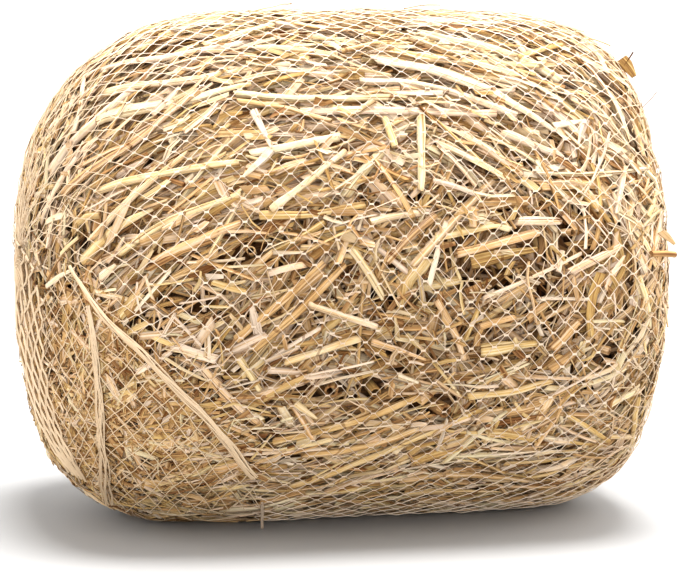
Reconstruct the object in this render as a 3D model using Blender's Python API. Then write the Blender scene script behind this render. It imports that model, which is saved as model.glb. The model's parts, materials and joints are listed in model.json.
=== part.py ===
"""A netted bundle of straw: a short pressed roll of loose straw, held in a sleeve of diamond netting.

Metres, +Z up. The roll lies on its side along X. Its origin is under its middle, on the surface that it rests
on. The photograph shows its front, from a little to the left and a little above.
"""

import math
import random
from collections import namedtuple

import bmesh
import bpy
from mathutils import Matrix, Vector

# The roll inside its net, measured to the net's threads.
HALF_LENGTH = 0.1405
HALF_DEPTH = 0.116
HALF_HEIGHT = 0.1165
SAG = 0.004
MIDDLE = Vector((0.0, 0.0, HALF_HEIGHT - SAG))
# How square the roll's outline is where the side turns into an end: 2 is an ellipse, and more is squarer.
SQUARE_TOP_LEFT = 2.3
SQUARE_TOP_RIGHT = 5.5
SQUARE_BOTTOM_LEFT = 4.0
SQUARE_BOTTOM_RIGHT = 6.5
LUMP = 0.009

# Depths under the net's own surface. What lies deeper has the larger number.
PACKED_DEPTH = 0.0050
RIDGE_TOP = 0.0031
LOWER_BED, LOWER_TOP = 0.0045, 0.0025
UPPER_BED, UPPER_TOP = 0.0022, 0.0011
NET_RISE = 0.0014
NET_THREAD = 0.0013

# Heights above the resting surface, where the roll's weight presses it flat.
PACKED_FOOT = 0.0032
NET_FOOT = 0.0014
FOOT_PAD_HEIGHT = 0.009
FOOT_PAD_SHARE = 0.66

# The net's lattice. The photograph's meshes are about 11 mm wide, and each of these stands for about 25 of
# them. The sleeve is gathered into a knot at both ends.
MESHES_ROUND = 13
MESH_ROWS = 17
GATHER_RADIUS = 0.011
KNOT_RADIUS, KNOT_LENGTH = 0.0125, 0.0048

# The photograph: how large a pixel is at the roll's middle, where the middle is, and where it was taken from.
PIXEL = 0.000458
MIDDLE_PIXEL = (327, 264)
VIEW_AZIMUTH = math.radians(-12)
VIEW_ELEVATION = math.radians(6)
VIEW_DISTANCE = 1.35

# A straw's path has a point about this often, and its flattened section slopes over this share of its width.
PATH_STEP = 0.013
SIDE_SHARE = 0.27

# The straws that are fused to the pressed mass and stand out of it all round.
RIDGES = 30
RIDGE_TRIES = 4000
RIDGE_HALF_LENGTHS = (0.015, 0.036)
RIDGE_WIDTHS = (0.0045, 0.0075)
RIDGE_LEAN = 0.7
RIDGE_LOWEST = 0.012
SEED = 7

# The straws that can be told apart in the photograph. path_px are the pixels that each runs through, wide is
# in metres, and an upper one lies across the lower ones.
Stem = namedtuple("Stem", "kind layer wide path_px colour")
STEMS = (
    Stem("leaf_blade", "upper", 0.0080, ((370, 54), (440, 68), (500, 92), (560, 131)), "cream"),
    Stem("leaf_blade", "lower", 0.0050, ((300, 107), (400, 106), (500, 109)), "cream"),
    Stem("stem", "lower", 0.0042, ((232, 90), (310, 94), (398, 93)), "cream"),
    Stem("stem", "lower", 0.0045, ((254, 43), (338, 50)), "pale"),
    Stem("stem", "upper", 0.0028, ((236, 99), (290, 107), (332, 119)), "gold"),
    Stem("leaf_blade", "lower", 0.0055, ((98, 89), (180, 76), (290, 59)), "pale"),
    Stem("stem", "upper", 0.0040, ((60, 194), (130, 142), (198, 88)), "gold"),
    Stem("leaf_blade", "lower", 0.0058, ((77, 262), (112, 228), (150, 208)), "pale"),
    Stem("stem", "lower", 0.0040, ((114, 254), (170, 218), (240, 193)), "pale"),
    Stem("stem", "lower", 0.0044, ((150, 262), (196, 239), (240, 222)), "gold"),
    Stem("stem", "lower", 0.0042, ((92, 190), (160, 172), (238, 160)), "pale"),
    Stem("stem", "upper", 0.0038, ((270, 209), (308, 180), (346, 149)), "pale"),
    Stem("leaf_blade", "upper", 0.0040, ((252, 108), (262, 128), (271, 147)), "white"),
    Stem("stem", "lower", 0.0046, ((248, 151), (295, 142), (341, 133)), "white"),
    Stem("stem", "lower", 0.0044, ((423, 112), (424, 150), (423, 190)), "cream"),
    Stem("leaf_blade", "upper", 0.0038, ((588, 118), (584, 130), (580, 144)), "white"),
    Stem("leaf_blade", "lower", 0.0044, ((505, 128), (535, 141), (568, 154)), "cream"),
    Stem("stem", "lower", 0.0034, ((462, 129), (495, 149), (526, 173)), "pale"),
    Stem("stem", "lower", 0.0044, ((258, 214), (312, 213), (366, 203)), "gold"),
    Stem("stem", "lower", 0.0044, ((234, 341), (286, 298), (324, 262)), "tan"),
    Stem("stem", "lower", 0.0044, ((252, 352), (300, 311), (346, 264)), "tan"),
    Stem("leaf_blade", "upper", 0.0042, ((350, 247), (368, 272), (385, 300)), "pale"),
    Stem("stem", "upper", 0.0036, ((308, 305), (344, 317), (378, 328)), "pale"),
    Stem("stem", "lower", 0.0034, ((210, 282), (228, 288), (246, 293)), "gold"),
    Stem("stem", "upper", 0.0038, ((284, 364), (322, 352), (361, 339)), "pale"),
    Stem("leaf_blade", "lower", 0.0036, ((372, 343), (400, 352), (428, 362)), "pale"),
    Stem("stem", "upper", 0.0042, ((458, 254), (500, 243), (541, 232)), "gold"),
    Stem("stem", "lower", 0.0046, ((520, 220), (542, 220), (565, 220)), "cream"),
    Stem("stem", "lower", 0.0042, ((574, 273), (600, 260), (626, 246)), "cream"),
    Stem("leaf_blade", "lower", 0.0036, ((609, 290), (618, 273), (629, 255)), "pale"),
    Stem("stem", "lower", 0.0046, ((557, 351), (570, 337), (583, 323)), "gold"),
    Stem("leaf_blade", "lower", 0.0068, ((484, 353), (512, 349), (541, 345)), "tan"),
    Stem("stem", "lower", 0.0042, ((272, 446), (330, 433), (376, 419), (422, 400)), "tan"),
    Stem("stem", "lower", 0.0042, ((286, 493), (350, 471), (420, 441), (484, 412)), "tan"),
    Stem("leaf_blade", "lower", 0.0040, ((236, 360), (247, 376), (258, 394)), "pale"),
    Stem("leaf_blade", "lower", 0.0040, ((294, 406), (305, 414), (317, 422)), "pale"),
    Stem("stem", "upper", 0.0028, ((568, 416), (590, 429), (611, 443)), "gold"),
    Stem("leaf_blade", "lower", 0.0038, ((506, 468), (530, 466), (551, 463)), "gold"),
    Stem("stem", "lower", 0.0036, ((609, 411), (626, 401), (643, 392)), "cream"),
    Stem("leaf_blade", "lower", 0.0050, ((316, 30), (330, 38), (344, 47)), "white"),
)
BEDS = {"upper": (UPPER_BED, UPPER_TOP), "lower": (LOWER_BED, LOWER_TOP)}

# The net is doubled and drawn together along two folds on the left, here as points of the photograph.
FOLDS = (
    (0.0042, ((73, 267), (92, 300), (118, 331), (152, 365), (190, 400), (226, 433), (252, 462))),
    (0.0052, ((94, 318), (98, 350), (101, 395), (105, 440), (110, 484))),
)
FOLD_BED, FOLD_TOP = 0.0006, -0.0034

COLOURS = {
    "packed": (0.42, 0.28, 0.13),
    "white": (0.86, 0.80, 0.64),
    "cream": (0.78, 0.66, 0.43),
    "pale": (0.70, 0.56, 0.33),
    "gold": (0.66, 0.46, 0.19),
    "tan": (0.55, 0.40, 0.22),
    "net": (0.86, 0.72, 0.58),
}


def clear_scene():
    for obj in list(bpy.data.objects):
        bpy.data.objects.remove(obj)


def material(name):
    """A matt straw or thread finish of this colour."""
    made = bpy.data.materials.get(name) or bpy.data.materials.new(name)
    made.use_nodes = True
    shader = made.node_tree.nodes["Principled BSDF"]
    shader.inputs["Base Color"].default_value = (*COLOURS[name], 1.0)
    shader.inputs["Roughness"].default_value = 0.6
    shader.inputs["Metallic"].default_value = 0.0
    return made


def add_object(name, mesh, colour):
    """The bmesh as an object of its own, with that colour's material."""
    bmesh.ops.recalc_face_normals(mesh, faces=mesh.faces)
    data = bpy.data.meshes.new(name)
    mesh.to_mesh(data)
    mesh.free()
    data.materials.append(material(colour))
    obj = bpy.data.objects.new(name, data)
    bpy.context.scene.collection.objects.link(obj)
    return obj


def add_helper(name, mesh):
    """A solid that is only joined to another by a Boolean."""
    obj = add_object(name, mesh, "packed")
    obj.hide_render = True
    obj.display_type = "WIRE"
    return obj


def union(obj, helper):
    joined = obj.modifiers.new("union", "BOOLEAN")
    joined.operation = "UNION"
    joined.solver = "EXACT"
    joined.object = helper


# The roll's form


def squareness(direction):
    """The outline's exponent in this direction from the roll's middle."""
    up = 0.5 + 0.5 * direction.z
    right = 0.5 + 0.5 * direction.x
    left_side = SQUARE_BOTTOM_LEFT + (SQUARE_TOP_LEFT - SQUARE_BOTTOM_LEFT) * up
    right_side = SQUARE_BOTTOM_RIGHT + (SQUARE_TOP_RIGHT - SQUARE_BOTTOM_RIGHT) * up
    return left_side + (right_side - left_side) * right


def lumps(direction):
    """The unevenness of hand-packed straw, from -1 to 1."""
    x, y, z = direction
    broad = math.sin(4.1 * x + 2.3 * y + 1.0) * math.sin(3.7 * z - 2.9 * y)
    small = math.sin(9.2 * x - 6.1 * z + 2.0) * math.sin(7.4 * y + 5.3 * z)
    return 0.62 * broad + 0.38 * small


def reach(direction):
    """How far the net lies from the roll's middle in this direction."""
    power = squareness(direction)
    along = abs(direction.x) / HALF_LENGTH
    across = math.hypot(direction.y / HALF_DEPTH, direction.z / HALF_HEIGHT)
    return (along**power + across**power) ** (-1 / power) * (1 + LUMP * lumps(direction))


def laid(offset, depth, foot=0.0):
    """The point at this depth under the net, seen from the middle along offset, and no lower than foot."""
    direction = offset.normalized()
    point = MIDDLE + direction * (reach(direction) - depth)
    point.z = max(point.z, foot)
    return point


def seen_at(pixel):
    """The offset from the middle to the point of the roll that the photograph shows at a pixel."""
    sin_a, cos_a = math.sin(VIEW_AZIMUTH), math.cos(VIEW_AZIMUTH)
    sin_e, cos_e = math.sin(VIEW_ELEVATION), math.cos(VIEW_ELEVATION)
    back = Vector((sin_a * cos_e, -cos_a * cos_e, sin_e))
    right = Vector((cos_a, sin_a, 0.0))
    up = back.cross(right)
    eye = back * VIEW_DISTANCE
    target = right * (pixel[0] - MIDDLE_PIXEL[0]) * PIXEL + up * (MIDDLE_PIXEL[1] - pixel[1]) * PIXEL
    ray = (target - eye).normalized()
    step = 0.0005
    nearest = eye + ray * (VIEW_DISTANCE - HALF_LENGTH - HALF_DEPTH)
    while nearest.dot(ray) < 0 and nearest.length > reach(nearest.normalized()):
        nearest = nearest + ray * step
    return nearest


# Straws and folds: flattened tubes that follow the roll


def smooth_path(points):
    """Offsets every PATH_STEP or so along a smooth line through these, on the roll's surface."""
    path = []
    last = len(points) - 1
    for i in range(last):
        before, start = points[max(i - 1, 0)], points[i]
        end, after = points[i + 1], points[min(i + 2, last)]
        count = max(2, round((end - start).length / PATH_STEP))
        for k in range(count):
            t = k / count
            leave, arrive = (end - before) / 2, (after - start) / 2
            path.append(
                start * (2 * t**3 - 3 * t**2 + 1)
                + leave * (t**3 - 2 * t**2 + t)
                + end * (3 * t**2 - 2 * t**3)
                + arrive * (t**3 - t**2)
            )
    path.append(points[-1])
    return path


def seen_path(pixels):
    """The smooth path over the roll that the photograph shows through these pixels."""
    return smooth_path([seen_at(pixel) for pixel in pixels])


def add_tube(mesh, path, wide, bed, top, end_share=0.8):
    """A closed flattened tube from bed to top along a path of offsets, wide at most, narrower at its ends."""
    face = None
    last = len(path) - 1
    for i, offset in enumerate(path):
        forward = (path[min(i + 1, last)] - path[max(i - 1, 0)]).normalized()
        side = offset.normalized().cross(forward).normalized()
        share = end_share if i in (0, last) else 1.0
        half, middle = wide * share / 2, (bed + top) / 2
        corner = half * (1 - 2 * SIDE_SHARE)
        ring = (
            (half, middle),
            (corner, bed),
            (-corner, bed),
            (-half, middle),
            (-corner, top),
            (corner, top),
        )
        places = [laid(offset + side * across, depth) for across, depth in ring]
        if face is None:
            face = mesh.faces.new([mesh.verts.new(place) for place in places])
            continue
        inner = face if i > 1 else None
        grown = bmesh.ops.extrude_face_region(mesh, geom=[face])["geom"]
        face = next(item for item in grown if isinstance(item, bmesh.types.BMFace))
        for vert, place in zip(face.verts, places):
            vert.co = place
        if inner:
            bmesh.ops.delete(mesh, geom=[inner], context="FACES_ONLY")


def make_stems():
    """Each straw of the list as its own object, named by its kind and number."""
    counts = {}
    for stem in STEMS:
        counts[stem.kind] = counts.get(stem.kind, 0) + 1
        mesh = bmesh.new()
        add_tube(mesh, seen_path(stem.path_px), stem.wide, *BEDS[stem.layer])
        add_object(f"{stem.kind}_{counts[stem.kind]:02d}", mesh, stem.colour)


# The pressed straw


def lower_straw_marks():
    """Points along the lower straws, each with the half width to keep clear of there."""
    marks = []
    for stem in STEMS:
        if stem.layer == "lower":
            marks += [(laid(offset, 0.0), stem.wide / 2) for offset in seen_path(stem.path_px)]
    return marks


def ridge_paths():
    """Seeded paths for the straws that stand out of the mass, clear of each other and of the lower straws."""
    rng = random.Random(SEED)
    taken = lower_straw_marks()
    paths = []
    for _ in range(RIDGE_TRIES):
        if len(paths) == RIDGES:
            break
        start = Vector([rng.gauss(0, 1) for _ in range(3)]).normalized()
        half, wide = rng.uniform(*RIDGE_HALF_LENGTHS), rng.uniform(*RIDGE_WIDTHS)
        lean = rng.gauss(0, RIDGE_LEAN)
        axis_way = (Vector((1, 0, 0)) - start * start.x).normalized()
        way = Matrix.Rotation(lean, 3, start) @ axis_way
        centre = laid(start, 0.0) - MIDDLE
        path = smooth_path([centre - way * half, centre, centre + way * half])
        places = [laid(offset, 0.0) for offset in path]
        low = min(place.z for place in places) < RIDGE_LOWEST
        at_end = any(math.hypot(place.y, place.z - MIDDLE.z) < 2 * KNOT_RADIUS for place in places)
        margin = wide / 2 + PATH_STEP / 2
        crowded = any((place - mark).length < room + margin for place in places for mark, room in taken)
        if low or at_end or crowded:
            continue
        taken += [(place, wide / 2) for place in places]
        paths.append((path, wide))
    return paths


def make_ridges():
    """The straws fused to the pressed mass, as one helper of separate closed tubes."""
    mesh = bmesh.new()
    for path, wide in ridge_paths():
        add_tube(mesh, path, wide, 2 * PACKED_DEPTH - RIDGE_TOP, RIDGE_TOP)
    return add_helper("straw_ridges", mesh)


def make_foot_pads():
    """Straw that bulges down through the net's meshes and carries the roll, each pad flat underneath."""
    mesh = bmesh.new()
    rings = net_rings()
    for i in range(1, len(rings) - 1):
        for k in range(MESHES_ROUND):
            corners = mesh_corners(rings, i, k)
            centre = sum(corners, Vector()) / 4
            on_floor = all(corner.z < FOOT_PAD_HEIGHT / 2 for corner in corners)
            if not on_floor or abs(centre.y) > NET_THREAD:
                continue
            pad = [centre + (corner - centre) * FOOT_PAD_SHARE for corner in corners]
            face = mesh.faces.new([mesh.verts.new((place.x, place.y, 0.0)) for place in pad])
            grown = bmesh.ops.extrude_face_region(mesh, geom=[face])["geom"]
            raised = [item for item in grown if isinstance(item, bmesh.types.BMVert)]
            bmesh.ops.translate(mesh, verts=raised, vec=(0, 0, FOOT_PAD_HEIGHT))
    return add_helper("foot_pads", mesh)


def make_pressed_straw():
    """The packed mass of short straw, with the straws that stand out of it and the pads that it rests on."""
    mesh = bmesh.new()
    bmesh.ops.create_uvsphere(mesh, u_segments=24, v_segments=17, radius=1.0)
    poles_along_x = Matrix.Rotation(math.radians(90), 3, "Y")
    for vert in mesh.verts:
        vert.co = laid(poles_along_x @ vert.co, PACKED_DEPTH, PACKED_FOOT)
    obj = add_object("pressed_straw", mesh, "packed")
    union(obj, make_ridges())
    union(obj, make_foot_pads())
    return obj


# The net


def end_angles():
    """The angle of each ring of crossings from the left end, evenly spaced along the roll's outline."""
    steps = 400
    angles = [math.pi * i / steps for i in range(steps + 1)]
    outline = [Vector((-math.cos(a), 0.0, math.sin(a))) for a in angles]
    outline = [direction * reach(direction) for direction in outline]
    lengths = [0.0]
    for here, there in zip(outline, outline[1:]):
        lengths.append(lengths[-1] + (there - here).length)
    first, last = GATHER_RADIUS, lengths[-1] - GATHER_RADIUS
    found = []
    for i in range(MESH_ROWS):
        wanted = first + (last - first) * i / (MESH_ROWS - 1)
        found.append(angles[sum(length < wanted for length in lengths)])
    return found


def net_rings():
    """The crossings of the net's threads, ring by ring from the left, every other ring half a mesh round."""
    rings = []
    for i, angle in enumerate(end_angles()):
        ring = []
        for k in range(MESHES_ROUND):
            turn = 2 * math.pi * (k + 0.5 * (i % 2) + 0.5) / MESHES_ROUND - math.pi / 2
            direction = Vector(
                (-math.cos(angle), math.sin(angle) * math.cos(turn), math.sin(angle) * math.sin(turn))
            )
            ring.append(laid(direction, -NET_RISE, NET_FOOT))
        rings.append(ring)
    return rings


def mesh_corners(rings, i, k):
    """The four crossings round mesh k of row i."""
    after = (k + 1) % MESHES_ROUND
    beside = after if i % 2 else k
    return rings[i - 1][beside], rings[i][k], rings[i + 1][beside], rings[i][after]


def make_end_knots():
    """The sleeve's two ends, drawn together and knotted: one flattened knot for each end."""
    mesh = bmesh.new()
    for side in (-1, 1):
        end = laid(Vector((side, 0, 0)), 0.0)
        place = Matrix.Translation(end) @ Matrix.Diagonal((KNOT_LENGTH, KNOT_RADIUS, KNOT_RADIUS, 1.0))
        bmesh.ops.create_icosphere(mesh, subdivisions=1, radius=1.0, matrix=place)
    return add_helper("end_knots", mesh)


def make_folds():
    """The two drawn-together folds of the net."""
    mesh = bmesh.new()
    for wide, points_px in FOLDS:
        add_tube(mesh, seen_path(points_px), wide, FOLD_BED, FOLD_TOP, end_share=0.5)
    return add_helper("net_folds", mesh)


def make_net():
    """The sleeve: a closed lattice of threads round the roll, gathered at both ends and folded on the left."""
    mesh = bmesh.new()
    rings = net_rings()
    verts = [[mesh.verts.new(place) for place in ring] for ring in rings]
    for i in range(1, len(verts) - 1):
        for k in range(MESHES_ROUND):
            mesh.faces.new(mesh_corners(verts, i, k))
    for rim, inner in ((verts[0], verts[1]), (verts[-1], verts[-2])):
        shift = 0 if rim is verts[0] or MESH_ROWS % 2 else -1
        for k in range(MESHES_ROUND):
            beside = (k + shift) % MESHES_ROUND
            mesh.faces.new((rim[k], rim[(k + 1) % MESHES_ROUND], inner[beside]))
        mesh.faces.new(rim)
    obj = add_object("net", mesh, "net")
    threads = obj.modifiers.new("threads", "WIREFRAME")
    threads.thickness = NET_THREAD
    threads.use_even_offset = False
    threads.use_boundary = True
    union(obj, make_end_knots())
    union(obj, make_folds())
    return obj


def main():
    clear_scene()
    make_pressed_straw()
    make_stems()
    make_net()


main()
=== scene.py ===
"""The looks of a netted bundle of straw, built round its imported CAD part. Metres, +Z up, front towards -Y."""

import json
import math
from collections import namedtuple

import bmesh
import bpy
import numpy as np
from mathutils import Matrix, Vector


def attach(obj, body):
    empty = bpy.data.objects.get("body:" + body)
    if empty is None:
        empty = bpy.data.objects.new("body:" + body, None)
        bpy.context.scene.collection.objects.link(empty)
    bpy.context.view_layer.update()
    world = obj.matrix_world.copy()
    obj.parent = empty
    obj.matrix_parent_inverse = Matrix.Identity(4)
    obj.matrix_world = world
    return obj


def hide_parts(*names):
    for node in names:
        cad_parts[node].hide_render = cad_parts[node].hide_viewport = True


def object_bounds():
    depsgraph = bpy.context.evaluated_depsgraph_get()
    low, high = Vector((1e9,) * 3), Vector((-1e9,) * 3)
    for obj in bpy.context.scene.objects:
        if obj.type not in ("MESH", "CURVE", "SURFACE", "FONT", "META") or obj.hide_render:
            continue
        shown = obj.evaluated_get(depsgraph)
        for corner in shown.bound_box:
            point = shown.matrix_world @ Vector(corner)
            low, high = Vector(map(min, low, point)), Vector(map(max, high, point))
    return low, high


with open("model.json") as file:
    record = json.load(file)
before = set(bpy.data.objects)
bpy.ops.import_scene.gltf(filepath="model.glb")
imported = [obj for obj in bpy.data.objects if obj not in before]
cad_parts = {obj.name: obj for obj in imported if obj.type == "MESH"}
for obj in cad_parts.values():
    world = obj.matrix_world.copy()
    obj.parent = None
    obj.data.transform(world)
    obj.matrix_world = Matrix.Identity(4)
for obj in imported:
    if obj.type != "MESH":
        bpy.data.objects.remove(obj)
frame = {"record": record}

bl_info = {
    "name": "Netted straw bundle",
    "version": (1, 0, 0),
    "blender": (4, 5, 0),
    "location": "View3D > Sidebar > Straw",
    "description": "Builds a short pressed roll of straw in its sleeve of netting",
    "category": "Add Mesh",
}

CAD_LOW, CAD_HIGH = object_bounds()
PHOTO_WIDTH, PHOTO_HEIGHT = 679, 575

# The straws that can be told apart in the photograph. wide is in metres, path_px are the pixels that each runs
# through, tone runs from 0, brown, to 1, cream, and an upper straw lies across the lower ones.
Named = namedtuple("Named", "node kind wide path_px tone layer", defaults=("lower",))
NAMED_STRAWS = (
    Named("leaf_blade_01", "blade", 0.0080, ((370, 54), (440, 68), (500, 92), (560, 131)), 0.86, "upper"),
    Named("leaf_blade_02", "split", 0.0050, ((300, 107), (400, 106), (500, 109)), 0.90),
    Named("stem_01", "stem", 0.0042, ((232, 90), (310, 94), (398, 93)), 0.92),
    Named("stem_02", "stem", 0.0045, ((254, 43), (338, 50)), 0.80),
    Named("stem_03", "stem", 0.0028, ((236, 99), (290, 107), (332, 119)), 0.55, "upper"),
    Named("leaf_blade_03", "split", 0.0055, ((98, 89), (180, 76), (290, 59)), 0.80),
    Named("stem_04", "stem", 0.0040, ((60, 194), (130, 142), (198, 88)), 0.66, "upper"),
    Named("leaf_blade_04", "blade", 0.0058, ((77, 262), (112, 228), (150, 208)), 0.78),
    Named("stem_05", "stem", 0.0040, ((114, 254), (170, 218), (240, 193)), 0.78),
    Named("stem_06", "stem", 0.0044, ((150, 262), (196, 239), (240, 222)), 0.62),
    Named("stem_07", "stem", 0.0042, ((92, 190), (160, 172), (238, 160)), 0.75),
    Named("stem_08", "stem", 0.0038, ((270, 209), (308, 180), (346, 149)), 0.84, "upper"),
    Named("leaf_blade_05", "blade", 0.0040, ((252, 108), (262, 128), (271, 147)), 0.98, "upper"),
    Named("stem_09", "stem", 0.0046, ((248, 151), (295, 142), (341, 133)), 0.95),
    Named("stem_10", "stem", 0.0044, ((423, 112), (424, 150), (423, 190)), 0.86),
    Named("leaf_blade_06", "blade", 0.0038, ((588, 118), (584, 130), (580, 144)), 0.98, "upper"),
    Named("leaf_blade_07", "split", 0.0044, ((505, 128), (535, 141), (568, 154)), 0.88),
    Named("stem_11", "stem", 0.0034, ((462, 129), (495, 149), (526, 173)), 0.76),
    Named("stem_12", "stem", 0.0044, ((258, 214), (312, 213), (366, 203)), 0.58),
    Named("stem_13", "stem", 0.0044, ((234, 341), (286, 298), (324, 262)), 0.50),
    Named("stem_14", "stem", 0.0044, ((252, 352), (300, 311), (346, 264)), 0.46),
    Named("leaf_blade_08", "split", 0.0042, ((350, 247), (368, 272), (385, 300)), 0.76, "upper"),
    Named("stem_15", "stem", 0.0036, ((308, 305), (344, 317), (378, 328)), 0.80, "upper"),
    Named("stem_16", "stem", 0.0034, ((210, 282), (228, 288), (246, 293)), 0.60),
    Named("stem_17", "stem", 0.0038, ((284, 364), (322, 352), (361, 339)), 0.74, "upper"),
    Named("leaf_blade_09", "blade", 0.0036, ((372, 343), (400, 352), (428, 362)), 0.72),
    Named("stem_18", "stem", 0.0042, ((458, 254), (500, 243), (541, 232)), 0.60, "upper"),
    Named("stem_19", "stem", 0.0046, ((520, 220), (542, 220), (565, 220)), 0.86),
    Named("stem_20", "stem", 0.0042, ((574, 273), (600, 260), (626, 246)), 0.82),
    Named("leaf_blade_10", "blade", 0.0036, ((609, 290), (618, 273), (629, 255)), 0.80),
    Named("stem_21", "stem", 0.0046, ((557, 351), (570, 337), (583, 323)), 0.56),
    Named("leaf_blade_11", "blade", 0.0068, ((484, 353), (512, 349), (541, 345)), 0.62),
    Named("stem_22", "stem", 0.0040, ((272, 446), (330, 433), (376, 419), (422, 400)), 0.50),
    Named("stem_23", "stem", 0.0036, ((286, 493), (350, 471), (420, 441), (484, 412)), 0.56),
    Named("leaf_blade_12", "split", 0.0040, ((236, 360), (247, 376), (258, 394)), 0.74),
    Named("leaf_blade_13", "blade", 0.0040, ((294, 406), (305, 414), (317, 422)), 0.74),
    Named("stem_24", "stem", 0.0028, ((568, 416), (590, 429), (611, 443)), 0.58, "upper"),
    Named("leaf_blade_14", "blade", 0.0038, ((506, 468), (530, 466), (551, 463)), 0.60),
    Named("stem_25", "stem", 0.0036, ((609, 411), (626, 401), (643, 392)), 0.82),
    Named("leaf_blade_15", "blade", 0.0050, ((316, 30), (330, 38), (344, 47)), 0.97),
)
UNNAMED_STRAWS = (
    Named("", "stem", 0.0036, ((386, 114), (392, 130), (397, 144)), 0.80),
    Named("", "blade", 0.0040, ((557, 124), (573, 121), (589, 118)), 0.95),
    Named("", "blade", 0.0042, ((271, 148), (258, 162), (242, 176)), 0.98, "upper"),
    Named("", "stem", 0.0034, ((611, 440), (623, 440), (635, 439)), 0.66),
    Named("", "stem", 0.0032, ((635, 452), (640, 425), (644, 398)), 0.76),
    Named("", "stem", 0.0036, ((520, 54), (542, 47), (565, 41)), 0.55),
    Named("", "stem", 0.0030, ((341, 47), (382, 38), (430, 35)), 0.55),
    Named("", "stem", 0.0042, ((200, 41), (262, 22), (323, 9)), 0.80),
    Named("", "stem", 0.0040, ((360, 76), (440, 84), (520, 112)), 0.86),
    Named("", "split", 0.0036, ((399, 378), (409, 382), (420, 386)), 0.90),
    Named("", "stem", 0.0034, ((482, 329), (500, 323), (519, 318)), 0.58),
    Named("", "stem", 0.0036, ((86, 240), (128, 196), (186, 150)), 0.72),
    Named("", "stem", 0.0040, ((388, 262), (410, 238), (438, 214)), 0.60),
    Named("", "split", 0.0042, ((440, 300), (456, 330), (468, 362)), 0.66),
    Named("", "stem", 0.0038, ((300, 460), (360, 452), (430, 430)), 0.52),
    Named("", "stem", 0.0040, ((470, 400), (510, 396), (556, 384)), 0.60),
    Named("", "stem", 0.0040, ((400, 486), (470, 480), (540, 486)), 0.56),
    Named("", "blade", 0.0030, ((44, 287), (58, 276), (74, 268)), 0.99, "upper"),
    Named("", "blade", 0.0052, ((97, 277), (105, 271), (114, 264)), 0.82, "upper"),
    Named("", "blade", 0.0080, ((474, 262), (505, 255), (542, 249)), 0.40),
    Named("", "stem", 0.0014, ((530, 261), (529, 280), (534, 300), (538, 325)), 0.70, "upper"),
    Named("", "split", 0.0062, ((78, 74), (160, 52), (250, 36)), 0.90),
    Named("", "blade", 0.0070, ((92, 118), (170, 100), (250, 80)), 0.92),
    Named("", "split", 0.0066, ((44, 168), (84, 122), (130, 84)), 0.90),
    Named("", "blade", 0.0060, ((36, 222), (62, 168), (98, 130)), 0.88),
    Named("", "split", 0.0056, ((420, 26), (500, 44), (566, 76)), 0.92),
    Named("", "blade", 0.0064, ((590, 60), (618, 96), (636, 140)), 0.88),
)
# Stems whose hollow ends face the photograph: the pixel, the width, how far the stem leans towards the right and
# up in pixels on its way out, and its tone.
HollowEnd = namedtuple("HollowEnd", "pixel wide lean_px tone")
HOLLOW_ENDS = (
    HollowEnd((447, 413), 0.0068, (7, 3), 0.34),
    HollowEnd((331, 393), 0.0058, (-3, 4), 0.30),
    HollowEnd((376, 394), 0.0052, (4, 2), 0.34),
    HollowEnd((575, 232), 0.0038, (-3, -2), 0.50),
    HollowEnd((166, 302), 0.0044, (-4, 2), 0.52),
    HollowEnd((250, 250), 0.0040, (5, 3), 0.60),
    HollowEnd((612, 352), 0.0042, (6, -2), 0.56),
)
HOLLOW_LENGTH, HOLLOW_SUNK = 0.011, 0.0012
# Bits that stick out of the net, with how far their two ends stand off it, and how far each is turned on edge.
Stray = namedtuple("Stray", "kind wide path_px tone lifts turn")
STRAYS = (
    Stray("blade", 0.0060, ((621, 59), (626, 68), (631, 79)), 0.32, (0.0018, 0.0026), 1.35),
    Stray("stem", 0.0007, ((630, 62), (632, 57), (634, 52)), 0.02, (0.0010, 0.0080), 0.0),
    Stray("stem", 0.0007, ((646, 106), (649, 101), (652, 95)), 0.02, (0.0010, 0.0090), 0.0),
    Stray("blade", 0.0034, ((658, 232), (662, 238), (666, 245)), 0.62, (0.0014, 0.0040), 0.9),
    Stray("stem", 0.0026, ((650, 254), (658, 254), (664, 255)), 0.34, (0.0006, 0.0050), 0.0),
    Stray("stem", 0.0007, ((598, 30), (606, 36), (613, 44)), 0.60, (0.0008, 0.0030), 0.0),
    Stray("blade", 0.0030, ((560, 17), (574, 20), (590, 27)), 0.92, (0.0012, 0.0026), 0.8),
    Stray("stem", 0.0008, ((660, 300), (662, 312), (662, 326)), 0.70, (0.0010, 0.0028), 0.0),
    Stray("stem", 0.0008, ((250, 14), (270, 11), (292, 9)), 0.80, (0.0008, 0.0024), 0.0),
    Stray("stem", 0.0006, ((404, 10), (420, 9), (438, 10)), 0.76, (0.0006, 0.0026), 0.0),
)
HANGING_PX = ((262, 503), (262, 528))
HANGING_WIDTH, HANGING_THICK, HANGING_FOOT = 0.0013, 0.0011, 0.0008
# How deep under the net each layer's straws start, and how thick each kind is next to its width.
LAYER_TOP = {"upper": 0.0004, "lower": 0.0014}
THICKNESS = {"stem": 0.72, "split": 0.45, "blade": 0.28}
STRAY_THICKNESS = {"stem": 0.8, "blade": 0.15}

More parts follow.
